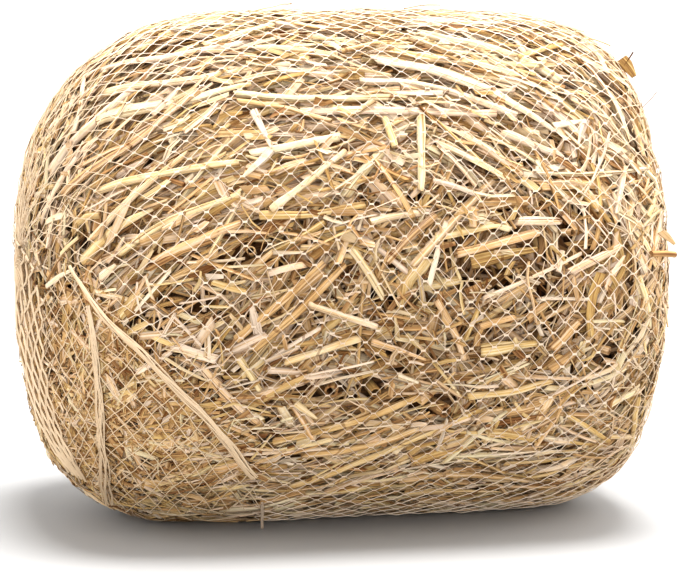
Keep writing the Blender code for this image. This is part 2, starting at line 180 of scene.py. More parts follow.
# Which way the straws lie, as read from the photograph: a pixel, the slope there in degrees with up to the right
# positive, and how well they agree from 0, all ways, to 1, parallel.
Lie = namedtuple("Lie", "pixel slope agreement")
LIES = (
    Lie((330, 60), 0, 0.90),
    Lie((200, 70), 14, 0.85),
    Lie((110, 120), 34, 0.80),
    Lie((130, 200), 28, 0.85),
    Lie((60, 200), 58, 0.75),
    Lie((220, 170), 18, 0.70),
    Lie((440, 70), -14, 0.80),
    Lie((520, 120), -32, 0.80),
    Lie((590, 160), -52, 0.65),
    Lie((640, 250), 82, 0.60),
    Lie((330, 200), 16, 0.40),
    Lie((290, 300), 42, 0.55),
    Lie((400, 300), -20, 0.15),
    Lie((500, 230), 10, 0.25),
    Lie((480, 330), 5, 0.15),
    Lie((580, 320), 60, 0.30),
    Lie((200, 340), 20, 0.20),
    Lie((350, 380), 10, 0.40),
    Lie((370, 440), 21, 0.75),
    Lie((520, 430), 6, 0.40),
    Lie((300, 500), 10, 0.85),
    Lie((480, 500), -4, 0.80),
    Lie((600, 460), 30, 0.50),
    Lie((30, 330), 84, 0.70),
    Lie((90, 420), 70, 0.35),
    Lie((170, 470), 12, 0.50),
)
LIE_SPREAD_PX = 62
# How many pleats go once round the net's ends.
PLEATS = 29
# Painted shade: over how much depth the straws darken towards the gap colour, and where that starts.
SHADED_DEPTH, SHADE_STARTS = 0.0066, 0.0030

# The net's two gathered folds at the lower left, the edge of the gathered netting, and the roll's own edge there.
# Each has as many pixels, so that threads can run between them.
FOLD_LONG_PX = ((72, 266), (92, 298), (118, 329), (150, 358), (186, 396), (220, 430), (256, 474))
FOLD_SIDE_PX = ((90, 305), (95, 335), (98, 366), (101, 398), (103, 430), (106, 464), (110, 500))
GATHER_EDGE_PX = ((46, 288), (42, 318), (43, 350), (48, 384), (56, 416), (68, 448), (86, 480))
LIMB_PX = ((15, 236), (14, 276), (16, 318), (23, 362), (34, 405), (50, 442), (70, 472))
# Where the doubled netting ends at the bottom, and how deep the sleeve lies under the folds.
UNDER_FOLDS_PX = ((262, 508), (190, 514), (122, 512))
UNDER_FOLDS_SUNK = 0.0038
# Each fold: its piece, its line, and its width at the top and at the bottom.
FOLD_THREADS = 14
FOLDS = (("fold_long", FOLD_LONG_PX, (0.0018, 0.0052)), ("fold_side", FOLD_SIDE_PX, (0.0020, 0.0056)))


# Sizes and colours


def count(name, description, default):
    return bpy.props.IntProperty(name=name, description=description, default=default)


def number(name, description, default, **kind):
    return bpy.props.FloatProperty(name=name, description=description, default=default, **kind)


def metres(name, description, default):
    return number(name, description, default, unit="LENGTH")


def share_of(name, description, default):
    return number(name, description, default, subtype="FACTOR")


def colour(name, description, default):
    return bpy.props.FloatVectorProperty(
        name=name, description=description, default=default, subtype="COLOR", size=3
    )


class RollSizes(bpy.types.PropertyGroup):
    """The roll's form, as far as the net's threads. Its squareness is the outline's exponent: 2 is an ellipse."""

    half_length: metres("Half length", "From the middle to either end", (CAD_HIGH.x - CAD_LOW.x) / 2 - 0.0043)
    half_depth: metres("Half depth", "From the middle to the front or back", 0.116)
    half_height: metres("Half height", "From the middle to the top", 0.1165)
    sag: metres("Sag", "How far the roll's weight flattens it underneath", 0.004)
    square_top_left: number("Squareness, top left", "More is squarer", 2.3)
    square_top_right: number("Squareness, top right", "More is squarer", 5.5)
    square_bottom_left: number("Squareness, bottom left", "More is squarer", 4.0)
    square_bottom_right: number("Squareness, bottom right", "More is squarer", 6.5)
    lump: share_of("Lumps", "How uneven the hand-packed roll is, as a share of its size", 0.009)
    ripple: share_of("Ripples", "How far single straws push the net out, as a share of the roll's size", 0.0055)


class StrawSizes(bpy.types.PropertyGroup):
    """The loose straw: how much, how large and what colours."""

    stems: count("Stems", "Whole stems near the surface", 2600)
    splits: count("Split stems", "Stems split lengthways", 2300)
    blades: count("Leaf blades", "Dry leaf blades", 1100)
    chaff: count("Chaff", "Small flakes and chips", 3000)
    shreds: count("Shreds", "Thin splinters of stem", 6200)
    slivers: count("Slivers", "The thinnest splinters", 4600)
    fine: count("Fine straws", "Short thin straws at the lower left", 1800)
    deep: count("Deep straws", "Straws seen only in the gaps", 2200)
    length: metres("Length", "The middling length of a straw", 0.036)
    width: metres("Width", "The middling width of a stem", 0.0030)
    packed_depth: metres("Packed depth", "How deep under the net the straw is too dense to see into", 0.0175)
    # Painted light: how much paler the straw is painted on top than at the middle, for the light from overhead; the
    # underside and the ends get some of it too.
    painted_light: number("Bleach", "How much paler the straw is on top than at the middle", 0.13)
    seed: count("Seed", "Another number lays the straws anew", 11)
    brown: colour("Brown", "The oldest straw", (0.170, 0.064, 0.017))
    # Painted shade: the colour that straw is darkened to deep between others, for the shade that falls there.
    gap: colour("Gaps", "What straw darkens to deep between others", (0.085, 0.025, 0.003))
    tan: colour("Tan", "Weathered straw", (0.405, 0.230, 0.098))
    gold: colour("Gold", "Ripe straw", (0.630, 0.405, 0.175))
    pale: colour("Pale", "Bleached straw", (0.770, 0.575, 0.365))
    cream: colour("Cream", "The whitest straw", (0.830, 0.695, 0.535))


class NetSizes(bpy.types.PropertyGroup):
    """The sleeve of netting."""

    meshes_round: count("Meshes round", "How many meshes go once round the roll", 74)
    thread: metres("Thread", "The thread's thickness", 0.00039)
    knot: metres("Knot", "How far two threads run together where they meet", 0.0013)
    half_mesh: metres("Half mesh", "From one row of knots to the next, along the roll", 0.0050)
    pleat: metres("Pleats", "How high the netting bunches towards its ends", 0.0012)
    gather_radius: metres("Gather radius", "Where the threads are drawn together at an end", 0.006)
    dusty: colour("Dusty thread", "The thread with straw dust in it", (0.66, 0.505, 0.335))
    clean: colour("Thread colour", "The thread", (0.78, 0.65, 0.52))


class StageSizes(bpy.types.PropertyGroup):
    """The camera, the lights and the floor."""

    pixel: metres("Pixel", "How large a pixel is at the roll's middle", 0.000458)
    middle_px: bpy.props.FloatVectorProperty(
        name="Middle pixel", description="Where the roll's middle is in the photograph", default=(327, 264), size=2
    )
    azimuth: number("Azimuth", "The camera's turn round the roll", math.radians(-12), unit="ROTATION")
    elevation: number("Elevation", "The camera's height above level", math.radians(6), unit="ROTATION")
    distance: metres("Distance", "From the camera to the roll's middle", 1.35)
    sky: number("Sky", "The even light from all round", 1.0)
    key: number("Key light", "The soft light from overhead", 4.75)
    fill: number("Fill light", "The low soft light from the front", 1.25)
    rim: number("Rim light", "The soft light from behind the right end", 1.6)
    floor: colour("Floor", "The floor's colour", (0.42, 0.418, 0.416))


# The roll's form, worked out for many points at once


def unit(vectors):
    return vectors / np.linalg.norm(vectors, axis=-1, keepdims=True)


def middle(roll):
    return np.array((0.0, 0.0, roll.half_height - roll.sag))


def ways_at(angle, turn):
    """Directions from the roll's middle, that angle from its left end and turned that far round its length."""
    return np.stack((-np.cos(angle), np.sin(angle) * np.cos(turn), np.sin(angle) * np.sin(turn)), -1)


# The unevenness of the form: the share of each pattern, and the two waves it is made of. A wave has how often it
# swings by X, by Y and by Z, and its shift.
LUMP_WAVES = ((0.62, (4.1, 2.3, 0, 1.0), (0, -2.9, 3.7, 0)), (0.38, (9.2, 0, -6.1, 2.0), (0, 7.4, 5.3, 0)))
RIPPLE_WAVES = ((0.55, (21, -9, 0, 2.2), (0, 12, 17, 0.4)), (0.45, (37, 0, 23, 1.7), (0, 41, -29, 2.9)))


def reach(roll, ways):
    """How far the net lies from the roll's middle in each direction."""
    x, y, z = np.moveaxis(ways, -1, 0)
    up, right = 0.5 + 0.5 * z, 0.5 + 0.5 * x
    left_side = roll.square_bottom_left + (roll.square_top_left - roll.square_bottom_left) * up
    right_side = roll.square_bottom_right + (roll.square_top_right - roll.square_bottom_right) * up
    power = left_side + (right_side - left_side) * right
    along = np.abs(x) / roll.half_length
    across = np.hypot(y / roll.half_depth, z / roll.half_height)

    def waves(rows):
        return sum(share * (wave(*first) * wave(*second)) for share, first, second in rows)

    def wave(by_x, by_y, by_z, shift):
        return np.sin(by_x * x + by_y * y + by_z * z + shift)

    lumps = 1 + roll.lump * waves(LUMP_WAVES) + roll.ripple * waves(RIPPLE_WAVES)
    return (along**power + across**power) ** (-1 / power) * lumps


def on_net(roll, ways):
    """Offsets from the roll's middle to its net in these directions."""
    return ways * reach(roll, ways)[..., None]


def outline_of(roll, steps):
    """The roll's outline over its top: its angles from the left end, its offsets, and how far apart they are."""
    angles = np.linspace(0.0, math.pi, steps)
    outline = on_net(roll, ways_at(angles, math.pi / 2))
    return angles, outline, np.linalg.norm(np.diff(outline, axis=0), axis=1)


def running_total(values):
    return np.concatenate(((0.0,), np.cumsum(values)))


def laid(roll, offsets, depths):
    """Points at these depths under the net, seen from the middle along offsets. The floor keeps them above it."""
    ways = unit(offsets)
    places = middle(roll) + ways * (reach(roll, ways) - depths)[..., None]
    lowest = 0.0004 + 0.6 * np.maximum(depths, 0)
    places[..., 2] = np.maximum(places[..., 2], lowest)
    return places


def outward(roll, offsets):
    """The roll's outward normals where it is seen along offsets from its middle."""
    step = 0.0005
    slopes = []
    for axis in np.eye(3) * step:
        ahead, behind = offsets + axis, offsets - axis
        slopes.append(
            np.linalg.norm(ahead, axis=-1) / reach(roll, unit(ahead))
            - np.linalg.norm(behind, axis=-1) / reach(roll, unit(behind))
        )
    return unit(np.stack(slopes, -1))


def camera_axes(stage):
    """Directions from the roll's middle: back to the camera, and the photograph's right and up."""
    sin_a, cos_a = math.sin(stage.azimuth), math.cos(stage.azimuth)
    sin_e, cos_e = math.sin(stage.elevation), math.cos(stage.elevation)
    back = np.array((sin_a * cos_e, -cos_a * cos_e, sin_e))
    right = np.array((cos_a, sin_a, 0.0))
    return back, right, np.cross(back, right)


def sight_lines(stage, pixels):
    """The camera's offset from the roll's middle, and from there the lines on which the pixels' places lie."""
    back, right, up = camera_axes(stage)
    away = (np.asarray(pixels, float) - stage.middle_px) * stage.pixel
    eye = back * stage.distance
    return eye, away[..., :1] * right - away[..., 1:] * up - eye


# How far and how often a line of sight steps forward until it meets the roll, and how often the last step is halved.
LOOK_STEP, LOOK_STEPS, LOOK_HALVINGS = 0.003, 110, 7


def seen_at(roll, stage, pixels):
    """Offsets from the middle to the points of the roll that the photograph shows at these pixels."""
    eye, lines = sight_lines(stage, pixels)
    rays = unit(lines)
    nearest = -(rays @ eye)

    def outside(travelled):
        points = eye + rays * travelled[:, None]
        return np.linalg.norm(points, axis=1) > reach(roll, unit(points))

    far = np.full(len(rays), stage.distance - roll.half_length - roll.half_depth)
    for _ in range(LOOK_STEPS):
        far = np.where(outside(far) & (far < nearest), far + LOOK_STEP, far)
    near = far - LOOK_STEP
    for _ in range(LOOK_HALVINGS):
        halfway = (near + far) / 2
        beyond = outside(halfway)
        near, far = np.where(beyond, halfway, near), np.where(beyond, far, halfway)
    return eye + rays * far[:, None]


def pixel_of(stage, offsets):
    """Where the photograph shows these offsets from the roll's middle."""
    back, right, up = camera_axes(stage)
    scale = stage.distance / (stage.distance - offsets @ back) / stage.pixel
    x = stage.middle_px[0] + (offsets @ right) * scale
    y = stage.middle_px[1] - (offsets @ up) * scale
    return np.stack((x, y), -1)


# Meshes

# A cone's axis laid along X, and how wide a cut stem's rim is and how far its end is pushed in.
ALONG_X = Matrix.Rotation(math.radians(90), 4, "Y")
END_RIM, END_HOLLOW, STEM_WALL = 0.15, 0.06, 0.16


def unit_tube(sides, segments, caps=True):
    """A tube one long and one across, along X."""
    mesh = bmesh.new()
    bmesh.ops.create_cone(
        mesh, cap_ends=caps, segments=sides, radius1=0.5, radius2=0.5, depth=1.0, matrix=ALONG_X
    )
    long_edges = [edge for edge in mesh.edges if abs(edge.verts[0].co.x - edge.verts[1].co.x) > 0.5]
    if segments > 1:
        bmesh.ops.subdivide_edges(mesh, edges=long_edges, cuts=segments - 1)
    return mesh


def stem_tube(sides, segments):
    """A unit tube with its ends pushed in, as a cut stem's are."""
    mesh = unit_tube(sides, segments)
    caps = [face for face in mesh.faces if len(face.verts) == sides]
    bmesh.ops.inset_individual(mesh, faces=caps, thickness=END_RIM, depth=0.0)
    for cap in caps:
        inward = -math.copysign(END_HOLLOW, cap.calc_center_median().x)
        bmesh.ops.translate(mesh, verts=cap.verts, vec=(inward, 0, 0))
    return mesh


def hollow_tube(sides, segments):
    """An open unit tube with a thick wall."""
    mesh = unit_tube(sides, segments, caps=False)
    bmesh.ops.solidify(mesh, geom=mesh.faces, thickness=STEM_WALL)
    return mesh


def unit_strip(segments, across, bow, thick, tip):
    """A strip one long and one wide, bowed upwards across its width, and narrower at one end by tip."""
    mesh = bmesh.new()
    bmesh.ops.create_grid(mesh, x_segments=segments, y_segments=across, size=0.5)
    for vert in mesh.verts:
        narrowed = 1 - tip * max(0.0, vert.co.x + 0.1) / 0.6
        vert.co.z = bow * (0.25 - vert.co.y**2) * 4 - bow / 2
        vert.co.y *= narrowed
    bmesh.ops.solidify(mesh, geom=mesh.faces, thickness=thick)
    return mesh


def finished(mesh, name, flat=False):
    """The bmesh as a mesh with a UV map: along its length, and round it, or across it where it is flat."""
    bmesh.ops.recalc_face_normals(mesh, faces=mesh.faces)
    uv = mesh.loops.layers.uv.new("UVMap")
    for face in mesh.faces:
        face.smooth = True
        for loop in face.loops:
            place = loop.vert.co
            round_it = math.atan2(place.z, place.y) / math.tau + 0.5
            loop[uv].uv = (place.x + 0.5, place.y / 2 + 0.5 if flat else round_it)
    data = bpy.data.meshes.new(name)
    mesh.to_mesh(data)
    mesh.free()
    data.set_sharp_from_angle(angle=math.radians(50))
    return data


def arrayed(data, count):
    """That many copies of a mesh in one mesh, one after the other."""
    source = bpy.data.objects.new("source", data)
    bpy.context.scene.collection.objects.link(source)
    array = source.modifiers.new("copies", "ARRAY")
    array.count = count
    graph = bpy.context.evaluated_depsgraph_get()
    copies = bpy.data.meshes.new_from_object(source.evaluated_get(graph))
    bpy.data.objects.remove(source)
    return copies


def points_of(data):
    flat = np.empty(len(data.vertices) * 3)
    data.vertices.foreach_get("co", flat)
    return flat.reshape(-1, 3)


def set_points(data, places):
    data.vertices.foreach_set("co", np.ascontiguousarray(places, np.float32).ravel())
    data.update()


def set_marks(data, shape, depths, lengths, widths, tones, shifts):
    """Gives each copy of a shape its own stretch of UV map, its tone, how near each place is to its ends, and how
    much shade falls there, for its depth among the others and round its own edges."""
    copies = len(depths)
    layer = data.uv_layers["UVMap"].uv
    flat = np.empty(len(layer) * 2)
    layer.foreach_get("vector", flat)
    uv = flat.reshape(copies, -1, 2)
    uv[..., 0] = uv[..., 0] * (lengths * 100)[:, None] + (shifts * 311)[:, None]
    uv[..., 1] = uv[..., 1] * (widths * 3000)[:, None] + (shifts * 97)[:, None]
    layer.foreach_set("vector", uv.ravel())
    each = len(data.vertices) // copies
    tone = data.attributes.new("tone", "FLOAT", "POINT")
    tone.data.foreach_set("value", np.repeat(tones, each))
    end = data.attributes.new("end", "FLOAT", "POINT")
    end.data.foreach_set("value", np.tile(np.minimum(np.abs(shape[:, 0]) * 2, 1.0), copies))
    flat = shape[:, 2].max() - shape[:, 2].min() < 0.9
    edges = 0.7 * np.abs(2 * shape[:, 1]) ** 4 if flat else np.clip(0.30 - shape[:, 2], 0, 1)
    covered = np.clip((depths - SHADE_STARTS) / SHADED_DEPTH, 0, 1)
    shade = data.attributes.new("shade", "FLOAT", "POINT")
    shade.data.foreach_set("value", (1 - (1 - 0.9 * covered) * (1 - 0.5 * edges)).ravel())


def add_piece(data, name, material, slot, *nodes):
    """The mesh as a piece of the object, in place of the CAD nodes that are named."""
    piece = bpy.data.objects.new(name, data)
    bpy.context.scene.collection.objects.link(piece)
    data.materials.clear()
    data.materials.append(material)
    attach(piece, "root")
    if nodes:
        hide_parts(*nodes)
    return piece


# Loose straws laid over the roll

# How far sizes vary, as the spread of their logarithm, the shortest and the longest straw in metres, and the
# narrowest and the widest next to a middling one.
SIZE_SPREAD = 0.42
LENGTH_LIMITS, WIDTH_LIMITS = (0.007, 0.105), (0.35, 2.6)
# How far a straw's ends lie deeper or higher than its middle, in metres, how far it bends sideways, as a share of
# its length, how many are kinked and how far, and how far its ends are cut aslant, and it is turned and twisted.
TILT, CURL, BEND, KINKED, KINK = 0.0016, 0.0011, 0.07, 0.25, 0.22
SLANT, TURN, TWIST = 0.55, 0.30, 0.55

# A layer of loose straws: its piece, the shape of its straws, the name of its count, between which depths it lies,
# the mean and the spread of its tone, its width and length next to a middling straw, its thickness next to its
# width, how much darker its deepest straws are painted as shade, and whether it makes way for the straws told apart.
Layer = namedtuple(
    "Layer", "piece shape count depths tones width length thick fade gives_way", defaults=(1.0, 0.75, 0.15, True)
)
FINE_LAYER = Layer("fine_straws", "shred", "fine", (0.0004, 0.0045), (0.39, 0.18), 0.62, 0.42, 0.6, 0.1)
LAYERS = (
    # The deep straws' darker tone is painted shade, for the gaps they lie in.
    Layer("deep_straws", "plain", "deep", (0.0085, 0.0160), (0.42, 0.18), 1.3, thick=0.6),
    Layer("loose_stems", "stem", "stems", (0.0003, 0.0085), (0.70, 0.19), 0.98, fade=0.12),
    Layer("split_stems", "split", "splits", (0.0003, 0.0080), (0.68, 0.20), 1.2, thick=0.5, fade=0.12),
    Layer("leaf_blades", "blade", "blades", (0.0003, 0.0070), (0.70, 0.20), 1.5, thick=0.3, fade=0.12),
    Layer("shreds", "shred", "shreds", (0.0003, 0.0075), (0.66, 0.24), 0.48, 0.75, thick=0.7),
    Layer("slivers", "shred", "slivers", (0.0003, 0.0065), (0.62, 0.28), 0.30, 0.5, thick=0.7),
    Layer("chaff", "flake", "chaff", (0.0004, 0.0080), (0.62, 0.25), 0.66, 0.30, thick=0.35, gives_way=False),
)

# Where a straw or bead of a field lies, how large it is, how it is bent and turned, and its look.
Field = namedtuple("Field", "start way side length wide thick depth tilt bend curl kink slant turn twist tone shift")


def even_points(roll, count, rng):
    """Offsets spread evenly over the roll's whole surface, with a little disorder."""
    angles, outline, steps = outline_of(roll, 600)
    girths = (outline[1:, 2] + outline[:-1, 2]) / 2
    area = running_total(steps * girths)
    first = (0.7549 * np.arange(count) + rng.random()) % 1
    second = (0.5698 * np.arange(count) + rng.random()) % 1
    disorder = 0.6 / math.sqrt(count)
    share = np.clip(first + rng.normal(0, disorder, count), 0.001, 0.999)
    turn = (second + rng.normal(0, disorder, count)) * math.tau
    angle = np.interp(share * area[-1], area, angles)
    return on_net(roll, ways_at(angle, turn))


def local_axes(roll, offsets):
    """Along the roll and up over its front, both in its surface, at each offset."""
    normals = outward(roll, offsets)
    along = np.array((1.0, 0.0, 0.0)) - normals * normals[..., :1]
    along = unit(along + np.array((0.0, 0.0, 1e-6)))
    return along, np.cross(normals, along)


def lie_of(stage, offsets):
    """The straws' mean slope in radians, and how well they agree, at each offset. The back follows the front."""
    facing = offsets.copy()
    facing[:, 1] = -np.abs(facing[:, 1])
    pixels = pixel_of(stage, facing)
    total = np.zeros((len(offsets), 2))
    weight = np.full(len(offsets), 1e-9)
    for lie in LIES:
        apart = np.sum((pixels - lie.pixel) ** 2, axis=1)
        near = np.exp(-apart / (2 * LIE_SPREAD_PX**2))
        double = 2 * math.radians(lie.slope)
        total += near[:, None] * lie.agreement * np.array((math.cos(double), math.sin(double)))
        weight += near
    total /= weight[:, None]
    return np.arctan2(total[:, 1], total[:, 0]) / 2, np.minimum(np.linalg.norm(total, axis=1), 1.0)


def fine_spots(roll, stage, count, rng):
    """Offsets all over the lower left, where the straw is finer."""
    guides = fold_guides()
    places = zip(rng.random(count) * 2.7 - 0.15, rng.random(count) ** 0.6 * 1.05)
    return seen_at(roll, stage, [between(guides, max(share, 0), down) for share, down in places])


def scattered(roll, stage, straw, layer, rng, start=None):
    """Places for a layer's straws, lying as the photograph's straws do."""
    count = getattr(straw, layer.count)
    start = even_points(roll, count, rng) if start is None else start
    slope, agreement = lie_of(stage, start)
    # At the roll's two ends they lie all ways.
    agreement = agreement * (1 - 0.8 * np.clip((np.abs(outward(roll, start)[:, 0]) - 0.6) / 0.3, 0, 1))
    spread = np.radians(8 + 62 * (1 - agreement) ** 1.3)
    # Underneath, where the weight has broken them, they are shorter and thinner.
    under = np.clip(-unit(start)[:, 2] - 0.45, 0, 0.4)
    angle = slope + rng.normal(0, 1, count) * spread
    along, up = local_axes(roll, start)
    way = along * np.cos(angle)[:, None] + up * np.sin(angle)[:, None]
    side = along * -np.sin(angle)[:, None] + up * np.cos(angle)[:, None]
    sizes = straw.length * layer.length * np.exp(rng.normal(0, SIZE_SPREAD, count)) * (0.5 + agreement) * (1 - under)
    sizes = np.clip(sizes, *LENGTH_LIMITS)
    wide = straw.width * layer.width * np.clip(np.exp(rng.normal(0, SIZE_SPREAD, count)), *WIDTH_LIMITS)
    wide = wide * (0.78 + 0.60 * agreement) * (1 - under)
    # Painted light: they are painted paler towards the top and the underside, and near the ends, as if more light fell
    # there.
    height = unit(start)[:, 2]
    painted_light_lift = straw.painted_light * np.where(height > 0, height, -0.5 * height)
    painted_light_lift = painted_light_lift + 0.6 * straw.painted_light * np.clip((np.abs(unit(start)[:, 0]) - 0.62) / 0.2, 0, 1)
    share = rng.random(count) ** 1.7
    nearest, deepest = layer.depths
    return Field(
        start=start,
        way=way,
        side=side,
        length=sizes,
        wide=wide,
        thick=wide * layer.thick,
        depth=nearest + (deepest - nearest) * share,
        tilt=rng.normal(0, TILT, count) * np.minimum(sizes / 0.03, 1.6),
        bend=rng.normal(0, BEND, count),
        curl=rng.normal(0, CURL, count),
        kink=np.where(rng.random(count) < KINKED, rng.normal(0, KINK, count), 0.0),
        slant=rng.normal(0, SLANT, count),
        turn=rng.normal(0, TURN, count),
        twist=rng.normal(0, TWIST, count),
        # Painted shade: the deeper a straw lies, the darker its tone, and painted light makes it paler on top,
        # underneath and at the ends.
        tone=np.clip(rng.normal(*layer.tones, count) - layer.fade * share + painted_light_lift, 0, 1),
        shift=rng.random(count),
    )


def lie_places(roll, field, shape):
    """Where each vertex of shape goes for each straw of the field."""
    x, y, z = shape.T
    turn = field.turn[:, None] + field.twist[:, None] * x
    across = y * field.wide[:, None]
    rise = z * field.thick[:, None]
    turned = across * np.cos(turn) - rise * np.sin(turn)
    lifted = across * np.sin(turn) + rise * np.cos(turn)
    strayed = field.bend[:, None] * (x**2 - 1 / 12) + field.kink[:, None] * (np.abs(x) - 0.25)
    sideways = turned + strayed * field.length[:, None]
    forward = x * field.length[:, None] + field.slant[:, None] * across
    offsets = (
        field.start[:, None, :]
        + field.way[:, None, :] * forward[..., None]
        + field.side[:, None, :] * sideways[..., None]
    )
    low = field.depth[:, None] + field.thick[:, None] / 2 + field.tilt[:, None] * 2 * x
    low = low + field.curl[:, None] * (4 * x**2 - 0.33)
    depths = np.maximum(low - lifted, 0.0003)
    return laid(roll, offsets, depths), depths


def make_way(roll, field, marks):
    """Pushes down each straw that would cover one of the straws told apart in the photograph."""
    depth = field.depth.copy()
    for share in np.linspace(-0.48, 0.48, 9):
        points = on_net(roll, unit(field.start + field.way * (field.length * share)[:, None]))
        for place, room, bottom in marks:
            close = np.linalg.norm(points - place, axis=1) < room + field.wide / 2
            depth = np.where(close, np.maximum(depth, bottom), depth)
    return field._replace(depth=depth)


def add_field(roll, field, source, name, material, slot):
    """All the straws of a field as one piece."""
    shape = points_of(source)
    count = len(field.length)
    data = arrayed(source, count)
    places, depths = lie_places(roll, field, shape)
    set_points(data, places.reshape(-1, 3))
    set_marks(data, shape, depths, field.length, field.wide, field.tone, field.shift)
    return add_piece(data, name, material, slot)


# Straws and threads that follow a line of pixels


def smooth_line(points, steps):
    """That many points on a smooth curve through these."""
    points = np.asarray(points, float)
    before = np.vstack((points[:1], points[:-1]))
    after = np.vstack((points[1:], points[-1:]))
    slopes = (after - before) / 2
    slopes[0], slopes[-1] = points[1] - points[0], points[-1] - points[-2]
    at = np.linspace(0, len(points) - 1, steps)
    i = np.minimum(at.astype(int), len(points) - 2)
    t = (at - i)[:, None]
    return (
        points[i] * (2 * t**3 - 3 * t**2 + 1)
        + slopes[i] * (t**3 - 2 * t**2 + t)
        + points[i + 1] * (3 * t**2 - 2 * t**3)
        + slopes[i + 1] * (t**3 - t**2)
    )


def seen_line(roll, stage, pixels, steps=41):
    """A smooth line of offsets over the roll through the points seen at these pixels."""
    return smooth_line(seen_at(roll, stage, pixels), steps)


def along_line(roll, line, shape, wide, thick, across=0.0, rise=0.0, turn=0.0):
    """Where each vertex of a unit shape goes when it lies along a line of offsets, that far aside and above it."""
    x, y, z = shape.T
    at = np.linspace(-0.5, 0.5, len(line))
    centre = np.stack([np.interp(x, at, line[:, k]) for k in range(3)], -1)
    slopes = np.gradient(line, axis=0)
    forward = unit(np.stack([np.interp(x, at, slopes[:, k]) for k in range(3)], -1))
    side = unit(np.cross(outward(roll, centre), forward))
    turned = y * wide * np.cos(turn) - z * thick * np.sin(turn) + across
    lifted = y * wide * np.sin(turn) + z * thick * np.cos(turn) + rise
    return laid(roll, centre + side * turned[..., None], -lifted)


def reach_between(shape, start, end, wide, thick):
    """Where each vertex of a unit shape goes when it runs straight from start to end."""
    x, y, z = shape.T
    forward = (end - start) / np.linalg.norm(end - start)
    side = unit(np.cross(np.array((0.0, 0.0, 1.0)), forward))
    over = np.cross(forward, side)
    centre = start + (end - start) * (x + 0.5)[:, None]
    return centre + side * (y * wide)[:, None] + over * (z * thick)[:, None]


def add_straw(data, places, depths, size, material, slot, *nodes):
    """One straw as its own piece. Its size is its length, its width, its tone and its shift along the streaks."""
    shape = points_of(data)
    set_points(data, places)
    set_marks(data, shape, np.broadcast_to(depths, (1, len(shape))), *(np.array([value]) for value in size))
    return add_piece(data, data.name, material, slot, *nodes)


def line_length(line):
    return float(np.linalg.norm(np.diff(line, axis=0), axis=1).sum())


# Materials


class Number:
    """A shader socket that holds a number. Arithmetic with it adds Math nodes."""

    def __init__(self, finish, socket):
        self.finish = finish
        self.socket = socket

    def math(self, operation, *values):
        made = self.finish.node("ShaderNodeMath", {"operation": operation}, dict(enumerate(values)))
        return Number(self.finish, made.outputs[0])

    def __add__(self, other):
        return self.math("ADD", self, other)

    def __sub__(self, other):
        return self.math("SUBTRACT", self, other)

    def __mul__(self, other):
        return self.math("MULTIPLY", self, other)

    def fraction(self):
        return self.math("FRACT", self)

    def near(self, value, room):
        """1 within room of the value, and 0 elsewhere."""
        return self.math("COMPARE", self, value, room)

    def between(self, low, high):
        """0 at low, 1 at high, and straight between them."""
        settings = {"clamp": True}
        made = self.finish.node("ShaderNodeMapRange", settings, {"Value": self, "From Min": low, "From Max": high})
        return Number(self.finish, made.outputs["Result"])


class Finish:
    """A material and its Principled shader, with one way to add any node."""

    def __init__(self, name, roughness):
        self.material = bpy.data.materials.new(name)
        self.material.use_nodes = True
        self.tree = self.material.node_tree
        self.shader = self.tree.nodes["Principled BSDF"]
        self.shader.inputs["Roughness"].default_value = roughness

    def node(self, kind, settings=None, inputs=None):
        """A node with its settings set first, and then the values or links of its sockets."""
        made = self.tree.nodes.new(kind)
        for name, value in (settings or {}).items():
            if name == "stops":
                self.fill_ramp(made.color_ramp, value)
            else:
                setattr(made, name, value)
        for name, value in (inputs or {}).items():
            self.plug(made.inputs[name], value)
        return made

    def fill_ramp(self, ramp, stops):
        while len(ramp.elements) < len(stops):
            ramp.elements.new(0.5)
        for element, (place, colour) in zip(ramp.elements, stops):
            element.position = place
            element.color = (*colour, 1.0)

    def plug(self, socket, value):
        """Links a socket, or sets it. A colour may come without its fourth value."""
        if isinstance(value, Number):
            value = value.socket
        elif socket.type == "RGBA" and not isinstance(value, bpy.types.NodeSocket):
            value = (*value, 1.0)[:4]
        if isinstance(value, bpy.types.NodeSocket):
            self.tree.links.new(value, socket)
        else:
            socket.default_value = value

    def number(self, kind, settings=None, inputs=None, output=0):
        return Number(self, self.node(kind, settings, inputs).outputs[output])

    def attribute(self, name):
        return self.number("ShaderNodeAttribute", {"attribute_name": name}, None, "Fac")

    def place(self):
        return self.node("ShaderNodeTexCoord").outputs["Object"]

    def parts(self, vector):
        """The three numbers of a vector."""
        return [Number(self, socket) for socket in self.node("ShaderNodeSeparateXYZ", None, {0: vector}).outputs]

    def ramp(self, stops, share):
        return self.node("ShaderNodeValToRGB", {"stops": stops}, {"Fac": share}).outputs[0]

    def noise(self, vector, detail=3.0, roughness=0.55, scale=1.0):
        inputs = {"Vector": vector, "Scale": scale, "Detail": detail, "Roughness": roughness}
        return self.number("ShaderNodeTexNoise", None, inputs)

    def vector(self, x, y, z=0.0):
        return self.node("ShaderNodeCombineXYZ", None, {"X": x, "Y": y, "Z": z}).outputs[0]

    def mixed(self, share, first, second, blend="MIX"):
        settings = {"data_type": "RGBA", "blend_type": blend}
        made = self.node("ShaderNodeMix", settings, {"Factor": share, 6: first, 7: second})
        return made.outputs[2]

    def bump(self, height, strength, distance):
        inputs = {"Height": height, "Strength": strength, "Distance": distance}
        self.plug(self.shader.inputs["Normal"], self.node("ShaderNodeBump", None, inputs).outputs[0])

    def colour(self, value):
        self.plug(self.shader.inputs["Base Color"], value)


# Where each of the straw's colours stands on the scale of tones, and the casts that single straws have.
STRAW_STOPS = (0.0, 0.26, 0.50, 0.74, 1.0)
STRAW_CASTS = (
    (0.0, (1.0, 0.95, 0.87)),
    (0.3, (1.0, 0.96, 0.97)),
    (0.6, (0.98, 0.98, 0.98)),
    (0.95, (0.97, 1.0, 0.86)),
)


